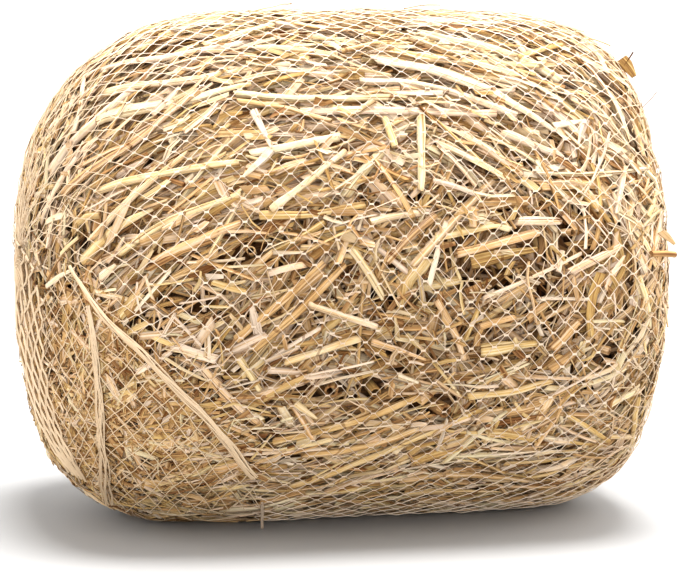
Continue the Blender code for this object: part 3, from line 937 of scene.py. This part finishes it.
def straw_finish(straw):
    """Dry straw: streaked along its length, blotched, and anything from brown to cream by its tone."""
    finish = Finish("straw", roughness=0.5)
    uv = finish.node("ShaderNodeUVMap", {"uv_map": "UVMap"}).outputs[0]
    along, across, _ = finish.parts(uv)
    fibres = finish.noise(finish.vector(along * 0.16, across * 0.85), detail=4.0, roughness=0.6)
    clouds = finish.noise(finish.vector(along * 0.7, across * 0.22, 3.0), detail=2.0)
    splits = finish.noise(finish.vector(along * 0.08, across * 0.55, 11.0), detail=3.0).between(0.58, 0.66)
    spots = finish.noise(finish.vector(along * 3.4, across * 0.8, 7.0), detail=2.0).between(0.64, 0.76)
    kind = finish.noise(finish.vector(along * 0.015, across * 0.015, 23.0), detail=0.0).between(0.34, 0.66)
    joint = (along * 0.11).fraction().near(0.5, 0.008)

    tone = finish.attribute("tone") + (fibres - 0.5) * 1.5 + (clouds - 0.5) * 0.7
    colours = (straw.brown, straw.tan, straw.gold, straw.pale, straw.cream)
    body = finish.ramp(list(zip(STRAW_STOPS, colours)), tone)
    body = finish.mixed(1.0, body, finish.ramp(STRAW_CASTS, kind), "MULTIPLY")
    worn = spots * 0.5 + splits * 0.7 + joint * 0.5 + finish.attribute("end").between(0.90, 1.0) * 0.35
    body = finish.mixed(worn.between(0.0, 1.0), body, straw.brown)
    # Painted shade: the colour is darkened towards the gap colour by each place's depth among the other straws and
    # round its own edges.
    finish.colour(finish.mixed(finish.attribute("shade"), body, straw.gap))
    finish.plug(finish.shader.inputs["Roughness"], fibres * 0.3 + 0.42)
    finish.plug(finish.shader.inputs["Specular IOR Level"], 0.10)
    finish.bump(fibres - splits * 0.5, 0.9, 0.0006)
    return finish.material


def packed_finish(straw):
    """The dense straw at the bottom of the gaps, painted dark for the shade there, and streaked along the roll."""
    finish = Finish("packed_straw", roughness=0.8)
    x, y, z = finish.parts(finish.place())
    streaks = finish.noise(finish.vector(x * 60, y * 260, z * 260), detail=4.0, roughness=0.65)
    packed_shade = tuple(value * 0.4 for value in straw.gap)
    finish.colour(finish.ramp(((0.4, packed_shade), (0.7, straw.gap)), streaks))
    finish.bump(streaks, 1.0, 0.002)
    return finish.material


def thread_finish(net, name="net_thread", clean_length=0.098):
    """Pinkish-white plastic thread that straw dust dulls where it is bunched, towards the ends and in the folds."""
    finish = Finish(name, roughness=0.42)
    place = finish.place()
    x = finish.parts(place)[0]
    uneven = finish.noise(place, detail=3.0, scale=140.0)
    bunched = (x.math("ABSOLUTE", x) + (uneven - 0.5) * 0.03).between(clean_length, clean_length + 0.028)
    specks = uneven.between(0.35, 0.72) * 0.45
    finish.colour(finish.mixed((bunched + specks).between(0.0, 1.0), net.clean, net.dusty))
    finish.bump(uneven, 0.4, 0.0003)
    return finish.material


def floor_finish(colour):
    """A plain pale floor with the faintest mottling."""
    finish = Finish("pale_floor", roughness=0.6)
    uneven = finish.noise(finish.place(), detail=2.0, scale=3.0)
    finish.colour(finish.mixed(uneven, colour, tuple(value * 0.985 for value in colour)))
    return finish.material


# Operators


def sizes(context):
    scene = context.scene
    return scene.straw_roll, scene.straw_sizes, scene.straw_net, scene.straw_stage


def straw_material(straw):
    return bpy.data.materials.get("straw") or straw_finish(straw)


def named_marks(roll, stage):
    """Points along the straws that can be told apart, each with the room and the depth that others leave."""
    marks = []
    for named in NAMED_STRAWS + UNNAMED_STRAWS:
        line = seen_line(roll, stage, named.path_px, 13)
        bottom = LAYER_TOP[named.layer] + named.wide * 0.75 + 0.0004
        marks += [(place, named.wide / 2 + 0.0005, bottom) for place in line]
    for hollow in HOLLOW_ENDS:
        marks.append((seen_at(roll, stage, [hollow.pixel])[0], hollow.wide / 2 + 0.0008, 0.0125))
    return marks


class STRAW_OT_packed_mass(bpy.types.Operator):
    """Builds the dense straw that closes the gaps between the loose ones"""

    bl_idname = "straw.packed_mass"
    bl_label = "Packed mass"

    def execute(self, context):
        roll, straw, _, _ = sizes(context)
        mesh = bmesh.new()
        turn = Matrix.Rotation(math.radians(90), 4, "Y")
        bmesh.ops.create_uvsphere(mesh, u_segments=96, v_segments=54, radius=1.0, matrix=turn)
        data = finished(mesh, "packed_mass")
        ways = unit(points_of(data))
        rng = np.random.default_rng(straw.seed)
        ripple = np.zeros(len(ways))
        for _ in range(24):
            wave = rng.normal(0, 16, 3)
            ripple += np.sin(ways @ wave + rng.random() * math.tau)
        set_points(data, laid(roll, ways, straw.packed_depth + 0.0005 * ripple))
        add_piece(data, "packed_mass", packed_finish(straw), "packed_straw", "pressed_straw")
        return {"FINISHED"}


class STRAW_OT_loose_straws(bpy.types.Operator):
    """Lays the loose stems, split stems, leaf blades and chaff all round the roll"""

    bl_idname = "straw.loose_straws"
    bl_label = "Loose straws"

    def execute(self, context):
        roll, straw, _, stage = sizes(context)
        rng = np.random.default_rng(straw.seed)
        material = straw_material(straw)
        marks = named_marks(roll, stage)
        shapes = {
            "stem": finished(stem_tube(5, 3), "stem"),
            "plain": finished(unit_tube(5, 3), "plain_stem"),
            "shred": finished(unit_tube(3, 3), "shred"),
            "split": finished(unit_strip(3, 2, 0.50, 0.16, 0.0), "split_stem", flat=True),
            "blade": finished(unit_strip(4, 2, 0.35, 0.10, 0.75), "leaf_blade", flat=True),
            "flake": finished(unit_strip(2, 1, 0.0, 0.18, 0.4), "flake", flat=True),
        }
        spots = fine_spots(roll, stage, straw.fine, rng)
        field = scattered(roll, stage, straw, FINE_LAYER, rng, spots)
        add_field(roll, field, shapes[FINE_LAYER.shape], FINE_LAYER.piece, material, "tan_straw")
        for layer in LAYERS:
            field = scattered(roll, stage, straw, layer, rng)
            if layer.gives_way:
                field = make_way(roll, field, marks)
            add_field(roll, field, shapes[layer.shape], layer.piece, material, "pale_straw")
        return {"FINISHED"}


def whole_straw(kind, name):
    """A finely made straw, one long and one wide."""
    if kind == "stem":
        return finished(stem_tube(12, 14), name)
    if kind == "split":
        return finished(unit_strip(12, 6, 0.5, 0.14, 0.0), name, flat=True)
    return finished(unit_strip(14, 4, 0.3, 0.08, 0.6), name, flat=True)


def unevenly(shape, stoutness, rng):
    """The unit shape with its ends cut aslant, narrowing a little to one end, and nowhere quite as wide."""
    x, y, z = shape.T
    narrowed = 1 - rng.uniform(0.0, 0.3) * (x + 0.5) + 0.07 * np.sin(x * rng.uniform(5, 16) + rng.uniform(0, 6))
    slanted = x + rng.normal(0, 0.7) * y * stoutness * np.sign(x)
    return np.stack((slanted, y * narrowed, z), -1)


class STRAW_OT_named_straws(bpy.types.Operator):
    """Lays the straws that can be told apart in the photograph, each where it is seen"""

    bl_idname = "straw.named_straws"
    bl_label = "Straws told apart"

    def execute(self, context):
        roll, straw, _, stage = sizes(context)
        rng = np.random.default_rng(straw.seed + 1)
        material = straw_material(straw)
        slots = {row["node"]: row["material_slot"] for row in frame["record"]["subparts"]}
        names = [named.node + "_straw" for named in NAMED_STRAWS]
        names += [f"seen_straw_{number:02d}" for number in range(1, len(UNNAMED_STRAWS) + 1)]
        for name, named in zip(names, NAMED_STRAWS + UNNAMED_STRAWS):
            data = whole_straw(named.kind, name)
            line = seen_line(roll, stage, named.path_px)
            length, top = line_length(line), LAYER_TOP[named.layer]
            turn = rng.normal(0, 0.12)
            wide, high = named.wide * 0.92, named.wide * THICKNESS[named.kind]
            uneven = unevenly(points_of(data), wide / length, rng)
            places = along_line(roll, line, uneven, wide, high, 0.0, -top - high / 2, turn)
            size = (length, named.wide, named.tone, rng.random())
            nodes = [named.node] if named.node else []
            add_straw(data, places, top, size, material, slots.get(named.node, "pale_straw"), *nodes)
        for number, hollow in enumerate(HOLLOW_ENDS, 1):
            data = finished(hollow_tube(14, 4), f"hollow_end_{number:02d}")
            shape = points_of(data)
            lean = np.array((hollow.lean_px[0], -hollow.lean_px[1]))
            near, far = seen_at(roll, stage, (hollow.pixel, hollow.pixel - lean))
            start = middle(roll) + far * (1 - HOLLOW_LENGTH / np.linalg.norm(far))
            end = middle(roll) + near * (1 - HOLLOW_SUNK / np.linalg.norm(near))
            places = reach_between(shape, start, end, hollow.wide, hollow.wide * 0.9)
            # Painted shade: the tube's inside and its far end are given depths, so that they darken towards the gap
            # colour.
            within = np.hypot(shape[:, 1], shape[:, 2]) < 0.42
            depths = np.where(within, 0.0085, 0.006) * (0.5 - shape[:, 0]) + np.where(within, 0.0045, 0.0)
            size = (HOLLOW_LENGTH, hollow.wide, hollow.tone, rng.random())
            add_straw(data, places, depths, size, material, "tan_straw")
        return {"FINISHED"}


class STRAW_OT_strays(bpy.types.Operator):
    """Lets a few bits stick out of the net, and one stalk hang down to the floor"""

    bl_idname = "straw.strays"
    bl_label = "Stray bits"

    def execute(self, context):
        roll, straw, _, stage = sizes(context)
        rng = np.random.default_rng(straw.seed + 2)
        material = straw_material(straw)
        for number, stray in enumerate(STRAYS, 1):
            data = whole_straw(stray.kind, f"stray_{number:02d}")
            shape = points_of(data)
            line = seen_line(roll, stage, stray.path_px)
            thick = stray.wide * STRAY_THICKNESS[stray.kind]
            lift = np.interp(shape[:, 0], (-0.5, 0.5), stray.lifts)
            places = along_line(roll, line, shape, stray.wide, thick, 0.0, lift, stray.turn)
            size = (line_length(line), stray.wide, stray.tone, rng.random())
            add_straw(data, places, 0.0, size, material, "gold_straw")
        data = whole_straw("stem", "hanging_stalk")
        top = middle(roll) + seen_at(roll, stage, HANGING_PX[:1])[0]
        foot = floor_at(roll, stage, HANGING_PX[1])
        places = reach_between(points_of(data), top, foot, HANGING_WIDTH, HANGING_THICK)
        add_straw(data, places, 0.0, (0.02, HANGING_WIDTH, 0.97, 0.4), material, "white_straw")
        return {"FINISHED"}


def floor_at(roll, stage, pixel):
    """The place on the floor that the photograph shows at this pixel."""
    eye, line = sight_lines(stage, pixel)
    eye = middle(roll) + eye
    return eye + line * (eye[2] - HANGING_FOOT) / -line[2]


def sleeve_rows(roll, net):
    """How far along the roll's outline the net's rows of knots are, with the outline's own lengths and angles."""
    angles, outline, steps = outline_of(roll, 1500)
    lengths = running_total(steps)
    full_half = math.pi * roll.half_height / net.meshes_round
    run = net.half_mesh - net.knot
    side = math.hypot(full_half, run)

    def half_row(at):
        girth = np.interp(at, lengths, outline[:, 2])
        half = min(math.pi * girth / net.meshes_round, side)
        return net.knot + math.sqrt(side**2 - half**2)

    centre = np.interp(math.pi / 2, angles, lengths)
    rows = [centre]
    while rows[-1] < lengths[-1] - net.gather_radius:
        rows.append(rows[-1] + half_row(rows[-1]))
    while rows[0] > net.gather_radius:
        rows.insert(0, rows[0] - half_row(rows[0]))
    return np.array(rows), lengths, angles


def sleeve(roll, net, wander, seed):
    """A sleeve of netting: its mesh, the directions of its points from the roll's middle, and their rise."""
    rows, lengths, angles = sleeve_rows(roll, net)
    strands = net.meshes_round * 2
    rings = len(rows) * 2
    source = finished(unit_tube(3, rings - 1), "strand")
    shape = points_of(source)
    ring = np.rint((shape[:, 0] + 0.5) * (rings - 1)).astype(int)
    row, half = ring // 2, ring % 2
    strand = np.arange(strands)[:, None]
    data = arrayed(source, strands)
    at = rows[row] + (half - 0.5) * net.knot
    swing = np.where((strand + row) % 2 == 0, 0.5, -0.5)
    rng = np.random.default_rng(seed)
    phase = rng.random(8) * math.tau
    base = math.tau * strand / strands
    slip = wander * (np.sin(2 * base + 14 * at + phase[0]) + 0.6 * np.sin(5 * base - 23 * at + phase[1]))
    slide = wander * (np.sin(3 * base + 9 * at + phase[2]) + 0.6 * np.sin(4 * base + 31 * at + phase[3]))
    plain_girth = roll.half_height * np.sin(np.interp(at, lengths, angles))
    drawn = np.clip((0.92 - plain_girth / roll.half_height) / 0.7, 0, 1)
    ruffled = np.sin(11 * base + 60 * at + phase[4]) + np.sin(19 * base - 45 * at + phase[5])
    slide = slide + 1.6 * wander * drawn * ruffled
    angle = np.interp(np.clip(at + slide, 0.0005, lengths[-1] - 0.0005), lengths, angles)
    girth = np.maximum(roll.half_height * np.sin(angle), 0.004)
    spacing = math.tau / strands
    apart = np.minimum(0.5 * net.thread / girth, 0.3 * spacing)
    around = base + swing * spacing - np.sign(swing) * apart + slip / roll.half_height
    drawn = 0.85 * drawn
    pleats = PLEATS * around + 1.3 * np.sin(3 * around + np.sign(at - rows.mean()))
    around = around - drawn / PLEATS * np.sin(pleats)
    rise = net.pleat * drawn * np.cos(pleats) + shape[:, 2] * net.thread
    around = around + shape[:, 1] * net.thread / girth
    return data, ways_at(angle, around), rise, row


def meeting_ways(ways, row):
    """The directions of the places where two threads meet, as each does with the next at every other row."""
    strands = np.arange(len(ways))
    found = []
    for number in range(row.max() + 1):
        at_row = ways[:, row == number].mean(axis=1)
        meeting = strands[(strands + number) % 2 == 0]
        found.append(at_row[meeting] + at_row[(meeting + 1) % len(ways)])
    return unit(np.concatenate(found))


def knot_field(roll, stage, net, ways):
    """A small flat bead for each place where two threads meet."""
    start = on_net(roll, ways)
    along, up = local_axes(roll, start)
    size = np.clip(np.hypot(start[:, 1], start[:, 2]) / roll.half_height, 0.2, 1.0)
    unused = ("tilt", "bend", "curl", "kink", "slant", "turn", "twist", "tone", "shift")
    return Field(
        start=start,
        way=along,
        side=up,
        length=net.knot * 1.6 * size,
        wide=net.thread * 2 * size,
        thick=net.thread * 2 * size,
        depth=UNDER_FOLDS_SUNK * under_folds(stage, start) - net.thread,
        **dict.fromkeys(unused, np.zeros(len(start))),
    )


# The knot at an end: how many threads are seen, how thick they look there, how high it stands, and its knob.
KNOT_THREADS, KNOT_THREAD, KNOT_HEIGHT, KNOB_RADIUS = 64, 0.0007, 0.0022, 0.0026


def knot_mesh(roll, net, side, name):
    """The threads drawn together at one end, swirled into a flat knot round a small knob."""
    count = KNOT_THREADS
    source = finished(unit_tube(4, 12), name)
    shape = points_of(source)
    data = arrayed(source, count)
    inward = shape[:, 0] + 0.5
    turn = math.tau * np.arange(count)[:, None] / count + 1.5 * inward
    radius = net.gather_radius * 1.5 * (1 - inward) + 0.0012
    way = np.array((side, 0.0, 0.0))
    end = side * (float(reach(roll, way)) - 0.0006)
    stout = KNOT_THREAD
    ridges = 0.0005 * np.cos(math.pi * np.arange(count) / 2)[:, None]
    rise = KNOT_HEIGHT * np.sin(inward * math.pi * 0.62) ** 1.3 + shape[:, 2] * stout + ridges
    places = np.empty((count, len(shape), 3))
    aside = shape[:, 1] * stout
    places[..., 0] = end + side * rise
    places[..., 1] = radius * np.cos(turn) - aside * np.sin(turn)
    places[..., 2] = middle(roll)[2] + side * (radius * np.sin(turn) + aside * np.cos(turn))
    set_points(data, places.reshape(-1, 3))
    knob = bmesh.new()
    knob.from_mesh(data)
    centre = Matrix.Translation((end + side * 0.0016, 0, middle(roll)[2])) @ Matrix.Diagonal((0.6, 1, 1, 1))
    bmesh.ops.create_uvsphere(knob, u_segments=16, v_segments=10, radius=KNOB_RADIUS, matrix=centre)
    bmesh.ops.recalc_face_normals(knob, faces=knob.faces)
    knob.to_mesh(data)
    knob.free()
    return data


def fold_mesh(roll, net, line, widths, name, rng):
    """Threads gathered into a fold along a line of offsets, and wound loosely round each other."""
    count = FOLD_THREADS
    source = finished(unit_tube(4, 48), name)
    shape = points_of(source)
    data = arrayed(source, count)
    at = shape[:, 0] + 0.5
    phase = rng.random(count)[:, None] * math.tau
    winding = rng.uniform(0.6, 2.4, count)[:, None] * rng.choice((-1, 1), count)[:, None]
    spread = rng.uniform(0.35, 1.0, count)[:, None]
    half = (widths[0] + (widths[1] - widths[0]) * at) / 2
    angle = phase + math.tau * winding * at
    across = half * spread * np.sin(angle)
    rise = 0.0012 + half * 0.45 * (spread * np.cos(angle) + 1 - spread**2)
    stout = net.thread * 1.6
    places = [along_line(roll, line, shape, stout, stout, across[k], rise[k]) for k in range(count)]
    set_points(data, np.concatenate(places))
    return data


def thread_mesh(roll, stage, net, lines, stout, name, rng):
    """Threads along these lines of pixels, a little unsteady, as one mesh."""
    source = finished(unit_tube(4, 30), name)
    shape = points_of(source)
    data = arrayed(source, len(lines))
    places = []
    for pixels in lines:
        pixels = np.array(pixels) + rng.normal(0, 0.3, (len(pixels), 2))
        line = seen_line(roll, stage, pixels, 81)
        places.append(along_line(roll, line, shape, net.thread * stout, net.thread * stout, 0.0, 0.0004))
    set_points(data, np.concatenate(places))
    return data


def under_folds(stage, offsets):
    """1 where the photograph shows the gathered netting over these offsets, 0 elsewhere, and between them near by."""
    x, y = np.moveaxis(pixel_of(stage, offsets), -1, 0)
    fold = np.array(FOLD_LONG_PX)
    aside = np.clip((np.interp(y, fold[:, 1], fold[:, 0]) - x) / 9, 0, 1)
    facing = np.clip((unit(offsets) @ camera_axes(stage)[0] + 0.30) / 0.15, 0, 1)
    return aside * facing * np.clip((y - 240) / 24, 0, 1)


def inside(corners, points):
    """Which of the points lie within the corners."""
    within = np.zeros(len(points), bool)
    x, y = np.asarray(points).T
    for (x0, y0), (x1, y1) in zip(corners, corners[1:] + corners[:1]):
        if y0 != y1:
            crosses = (y0 > y) != (y1 > y)
            within ^= crosses & (x < (x1 - x0) * (y - y0) / (y1 - y0) + x0)
    return within


def lattice(corners, ways, apart, bow):
    """Lines of pixels across the area within the corners, in both ways, that far apart and a little bowed."""
    corners = [tuple(corner) for corner in corners]
    centre = np.mean(corners, axis=0)
    lines = []
    for way in ways:
        forward = unit(np.array(way, float))
        aside = np.array((-forward[1], forward[0]))
        for shift in np.arange(-300, 300, apart):
            at = np.arange(-320, 321, 4.0)[:, None]
            bowed = shift + bow * (at / 100) ** 2 + 1.2 * np.sin(at / 9 + shift)
            points = centre + at * forward + bowed * aside
            points = points[inside(corners, points)]
            if len(points) > 4:
                lines.append(points)
    return lines


def fold_guides():
    """Lines of pixels down the long fold, the side fold, the gathered netting's edge and the roll's left edge."""
    return [smooth_line(pixels, 41) for pixels in (FOLD_LONG_PX, FOLD_SIDE_PX, GATHER_EDGE_PX, LIMB_PX)]


def between(guides, share, down):
    """The pixel this far down from one guide line to the next: 0 is on the first, 1 on the second and so on."""
    which = min(int(share), len(guides) - 2)
    at = np.clip(down, 0, 1) * (len(guides[0]) - 1)
    steps = np.arange(len(guides[0]))
    near, far = (np.array([np.interp(at, steps, guide[:, k]) for k in (0, 1)]) for guide in guides[which:which + 2])
    return near + (far - near) * (share - which)


class STRAW_OT_net(bpy.types.Operator):
    """Builds the sleeve of netting, from one gathered end to the other"""

    bl_idname = "straw.net"
    bl_label = "Net"

    def execute(self, context):
        roll, _, net, stage = sizes(context)
        thread = thread_finish(net)
        data, ways, rise, row = sleeve(roll, net, 0.0016, 3)
        sunk = UNDER_FOLDS_SUNK * under_folds(stage, on_net(roll, ways))
        set_points(data, laid(roll, ways, 0.0002 - rise + sunk).reshape(-1, 3))
        add_piece(data, "net_sleeve", thread, "net_thread", "net")
        beads = knot_field(roll, stage, net, meeting_ways(ways, row))
        add_field(roll, beads, finished(unit_tube(4, 1), "knot"), "net_knots", thread, "net_thread")
        for name, side in (("net_knot_left", -1), ("net_knot_right", 1)):
            add_piece(knot_mesh(roll, net, side, name), name, thread, "net_thread")
        return {"FINISHED"}


class STRAW_OT_net_folds(bpy.types.Operator):
    """Gathers the netting into two folds at the lower left, and doubles it between them and the left end"""

    bl_idname = "straw.net_folds"
    bl_label = "Folds in the net"

    def execute(self, context):
        roll, _, net, stage = sizes(context)
        thread = thread_finish(net, "dusty_thread", 0.02)
        rng = np.random.default_rng(5)
        for name, pixels, widths in FOLDS:
            line = seen_line(roll, stage, pixels, 61)
            add_piece(fold_mesh(roll, net, line, widths, name, rng), name, thread, "net_thread")
        guides = fold_guides()
        wide_area = [*FOLD_LONG_PX, *UNDER_FOLDS_PX, *reversed(FOLD_SIDE_PX)]
        narrow_area = [FOLD_LONG_PX[0], *FOLD_SIDE_PX, *reversed(GATHER_EDGE_PX)]
        lines = lattice(wide_area, ((0.66, 0.75), (-0.72, 0.70)), 13.5, 3.0)
        lines += lattice(narrow_area, ((0.50, 0.86), (-0.50, 0.86)), 9.5, -2.0)
        add_piece(thread_mesh(roll, stage, net, lines, 1.15, "doubled_net", rng), "doubled_net", thread, "net_thread")
        waves = []
        for k in range(8):
            downs = np.linspace(-0.12 if k > 2 else 0.05, 1.0, 60)
            swing = 0.5 * np.cos(math.tau * downs * 7.5 + math.pi * k + 0.5 * np.sin(9 * downs + k))
            waves.append([between(guides, 2.02 + 0.135 * (k + 0.85 * s), down) for s, down in zip(swing, downs)])
        add_piece(thread_mesh(roll, stage, net, waves, 3.3, "gathered_net", rng), "gathered_net", thread, "net_thread")
        return {"FINISHED"}


# Each light: which of the stage's strengths it has and what share of it, its softness in degrees, and the
# direction that it comes from.
LAMPS = (
    ("overhead", "key", 1.0, 24, (0.10, 0.02, 1.0)),
    ("fill", "fill", 1.0, 30, (-0.25, -1.0, 0.14)),
    ("left_rim", "rim", 0.85, 60, (-1.0, 0.10, 0.35)),
    ("right_rim", "rim", 0.7, 60, (1.0, -0.10, 0.25)),
    ("rim", "rim", 1.0, 60, (1.0, 0.30, 0.75)),
)
FLOOR_SIZE = 60.0
EXPOSURE, GAMMA = 0.06, 0.90


def add_lamp(name, strength, softness, come_from):
    """A broad even light from one side, softness degrees across."""
    lamp = bpy.data.lights.new(name, "SUN")
    lamp.energy = strength
    lamp.angle = math.radians(softness)
    holder = bpy.data.objects.new(name, lamp)
    holder.rotation_euler = Vector(come_from).to_track_quat("Z", "Y").to_euler()
    bpy.context.scene.collection.objects.link(holder)


class STRAW_OT_stage(bpy.types.Operator):
    """Sets up the floor, the lights and the photograph's camera"""

    bl_idname = "straw.stage"
    bl_label = "Stage"

    def execute(self, context):
        roll, _, _, stage = sizes(context)
        scene = context.scene
        mesh = bmesh.new()
        bmesh.ops.create_grid(mesh, x_segments=1, y_segments=1, size=FLOOR_SIZE)
        floor = bpy.data.objects.new("floor", finished(mesh, "floor"))
        floor.data.materials.append(floor_finish(tuple(stage.floor)))
        scene.collection.objects.link(floor)

        world = bpy.data.worlds.new("studio")
        world.use_nodes = True
        sky = world.node_tree.nodes["Background"]
        sky.inputs["Color"].default_value = (1.0, 1.0, 1.0, 1.0)
        sky.inputs["Strength"].default_value = stage.sky
        scene.world = world
        scene.view_settings.view_transform = "Standard"
        scene.view_settings.exposure = EXPOSURE
        scene.view_settings.gamma = GAMMA

        for name, strength, share, softness, come_from in LAMPS:
            add_lamp(name, getattr(stage, strength) * share, softness, come_from)

        eye, line = sight_lines(stage, (PHOTO_WIDTH / 2, PHOTO_HEIGHT / 2))
        camera_data = bpy.data.cameras.new("camera")
        camera_data.sensor_width = 36.0
        camera_data.lens = camera_data.sensor_width * stage.distance / (PHOTO_WIDTH * stage.pixel)
        camera = bpy.data.objects.new("camera", camera_data)
        camera.location = middle(roll) + eye
        camera.rotation_euler = Vector(line).to_track_quat("-Z", "Y").to_euler()
        scene.collection.objects.link(camera)
        scene.camera = camera
        return {"FINISHED"}


class STRAW_PT_bundle(bpy.types.Panel):
    """The steps that build the bundle"""

    bl_label = "Netted straw bundle"
    bl_idname = "STRAW_PT_bundle"
    bl_space_type = "VIEW_3D"
    bl_region_type = "UI"
    bl_category = "Straw"

    def draw(self, context):
        for step in STEPS:
            self.layout.operator(step.bl_idname)


STEPS = (
    STRAW_OT_stage,
    STRAW_OT_packed_mass,
    STRAW_OT_loose_straws,
    STRAW_OT_named_straws,
    STRAW_OT_strays,
    STRAW_OT_net,
    STRAW_OT_net_folds,
)
GROUPS = {
    "straw_roll": RollSizes,
    "straw_sizes": StrawSizes,
    "straw_net": NetSizes,
    "straw_stage": StageSizes,
}


def register():
    for kind in (*GROUPS.values(), *STEPS, STRAW_PT_bundle):
        bpy.utils.register_class(kind)
    for name, group in GROUPS.items():
        setattr(bpy.types.Scene, name, bpy.props.PointerProperty(type=group))


def unregister():
    for name in GROUPS:
        delattr(bpy.types.Scene, name)
    for kind in (STRAW_PT_bundle, *reversed(STEPS), *GROUPS.values()):
        bpy.utils.unregister_class(kind)


def main():
    register()
    bpy.ops.straw.stage()
    bpy.ops.straw.packed_mass()
    bpy.ops.straw.loose_straws()
    bpy.ops.straw.named_straws()
    bpy.ops.straw.strays()
    bpy.ops.straw.net()
    bpy.ops.straw.net_folds()


if __name__ == "__main__":
    main()
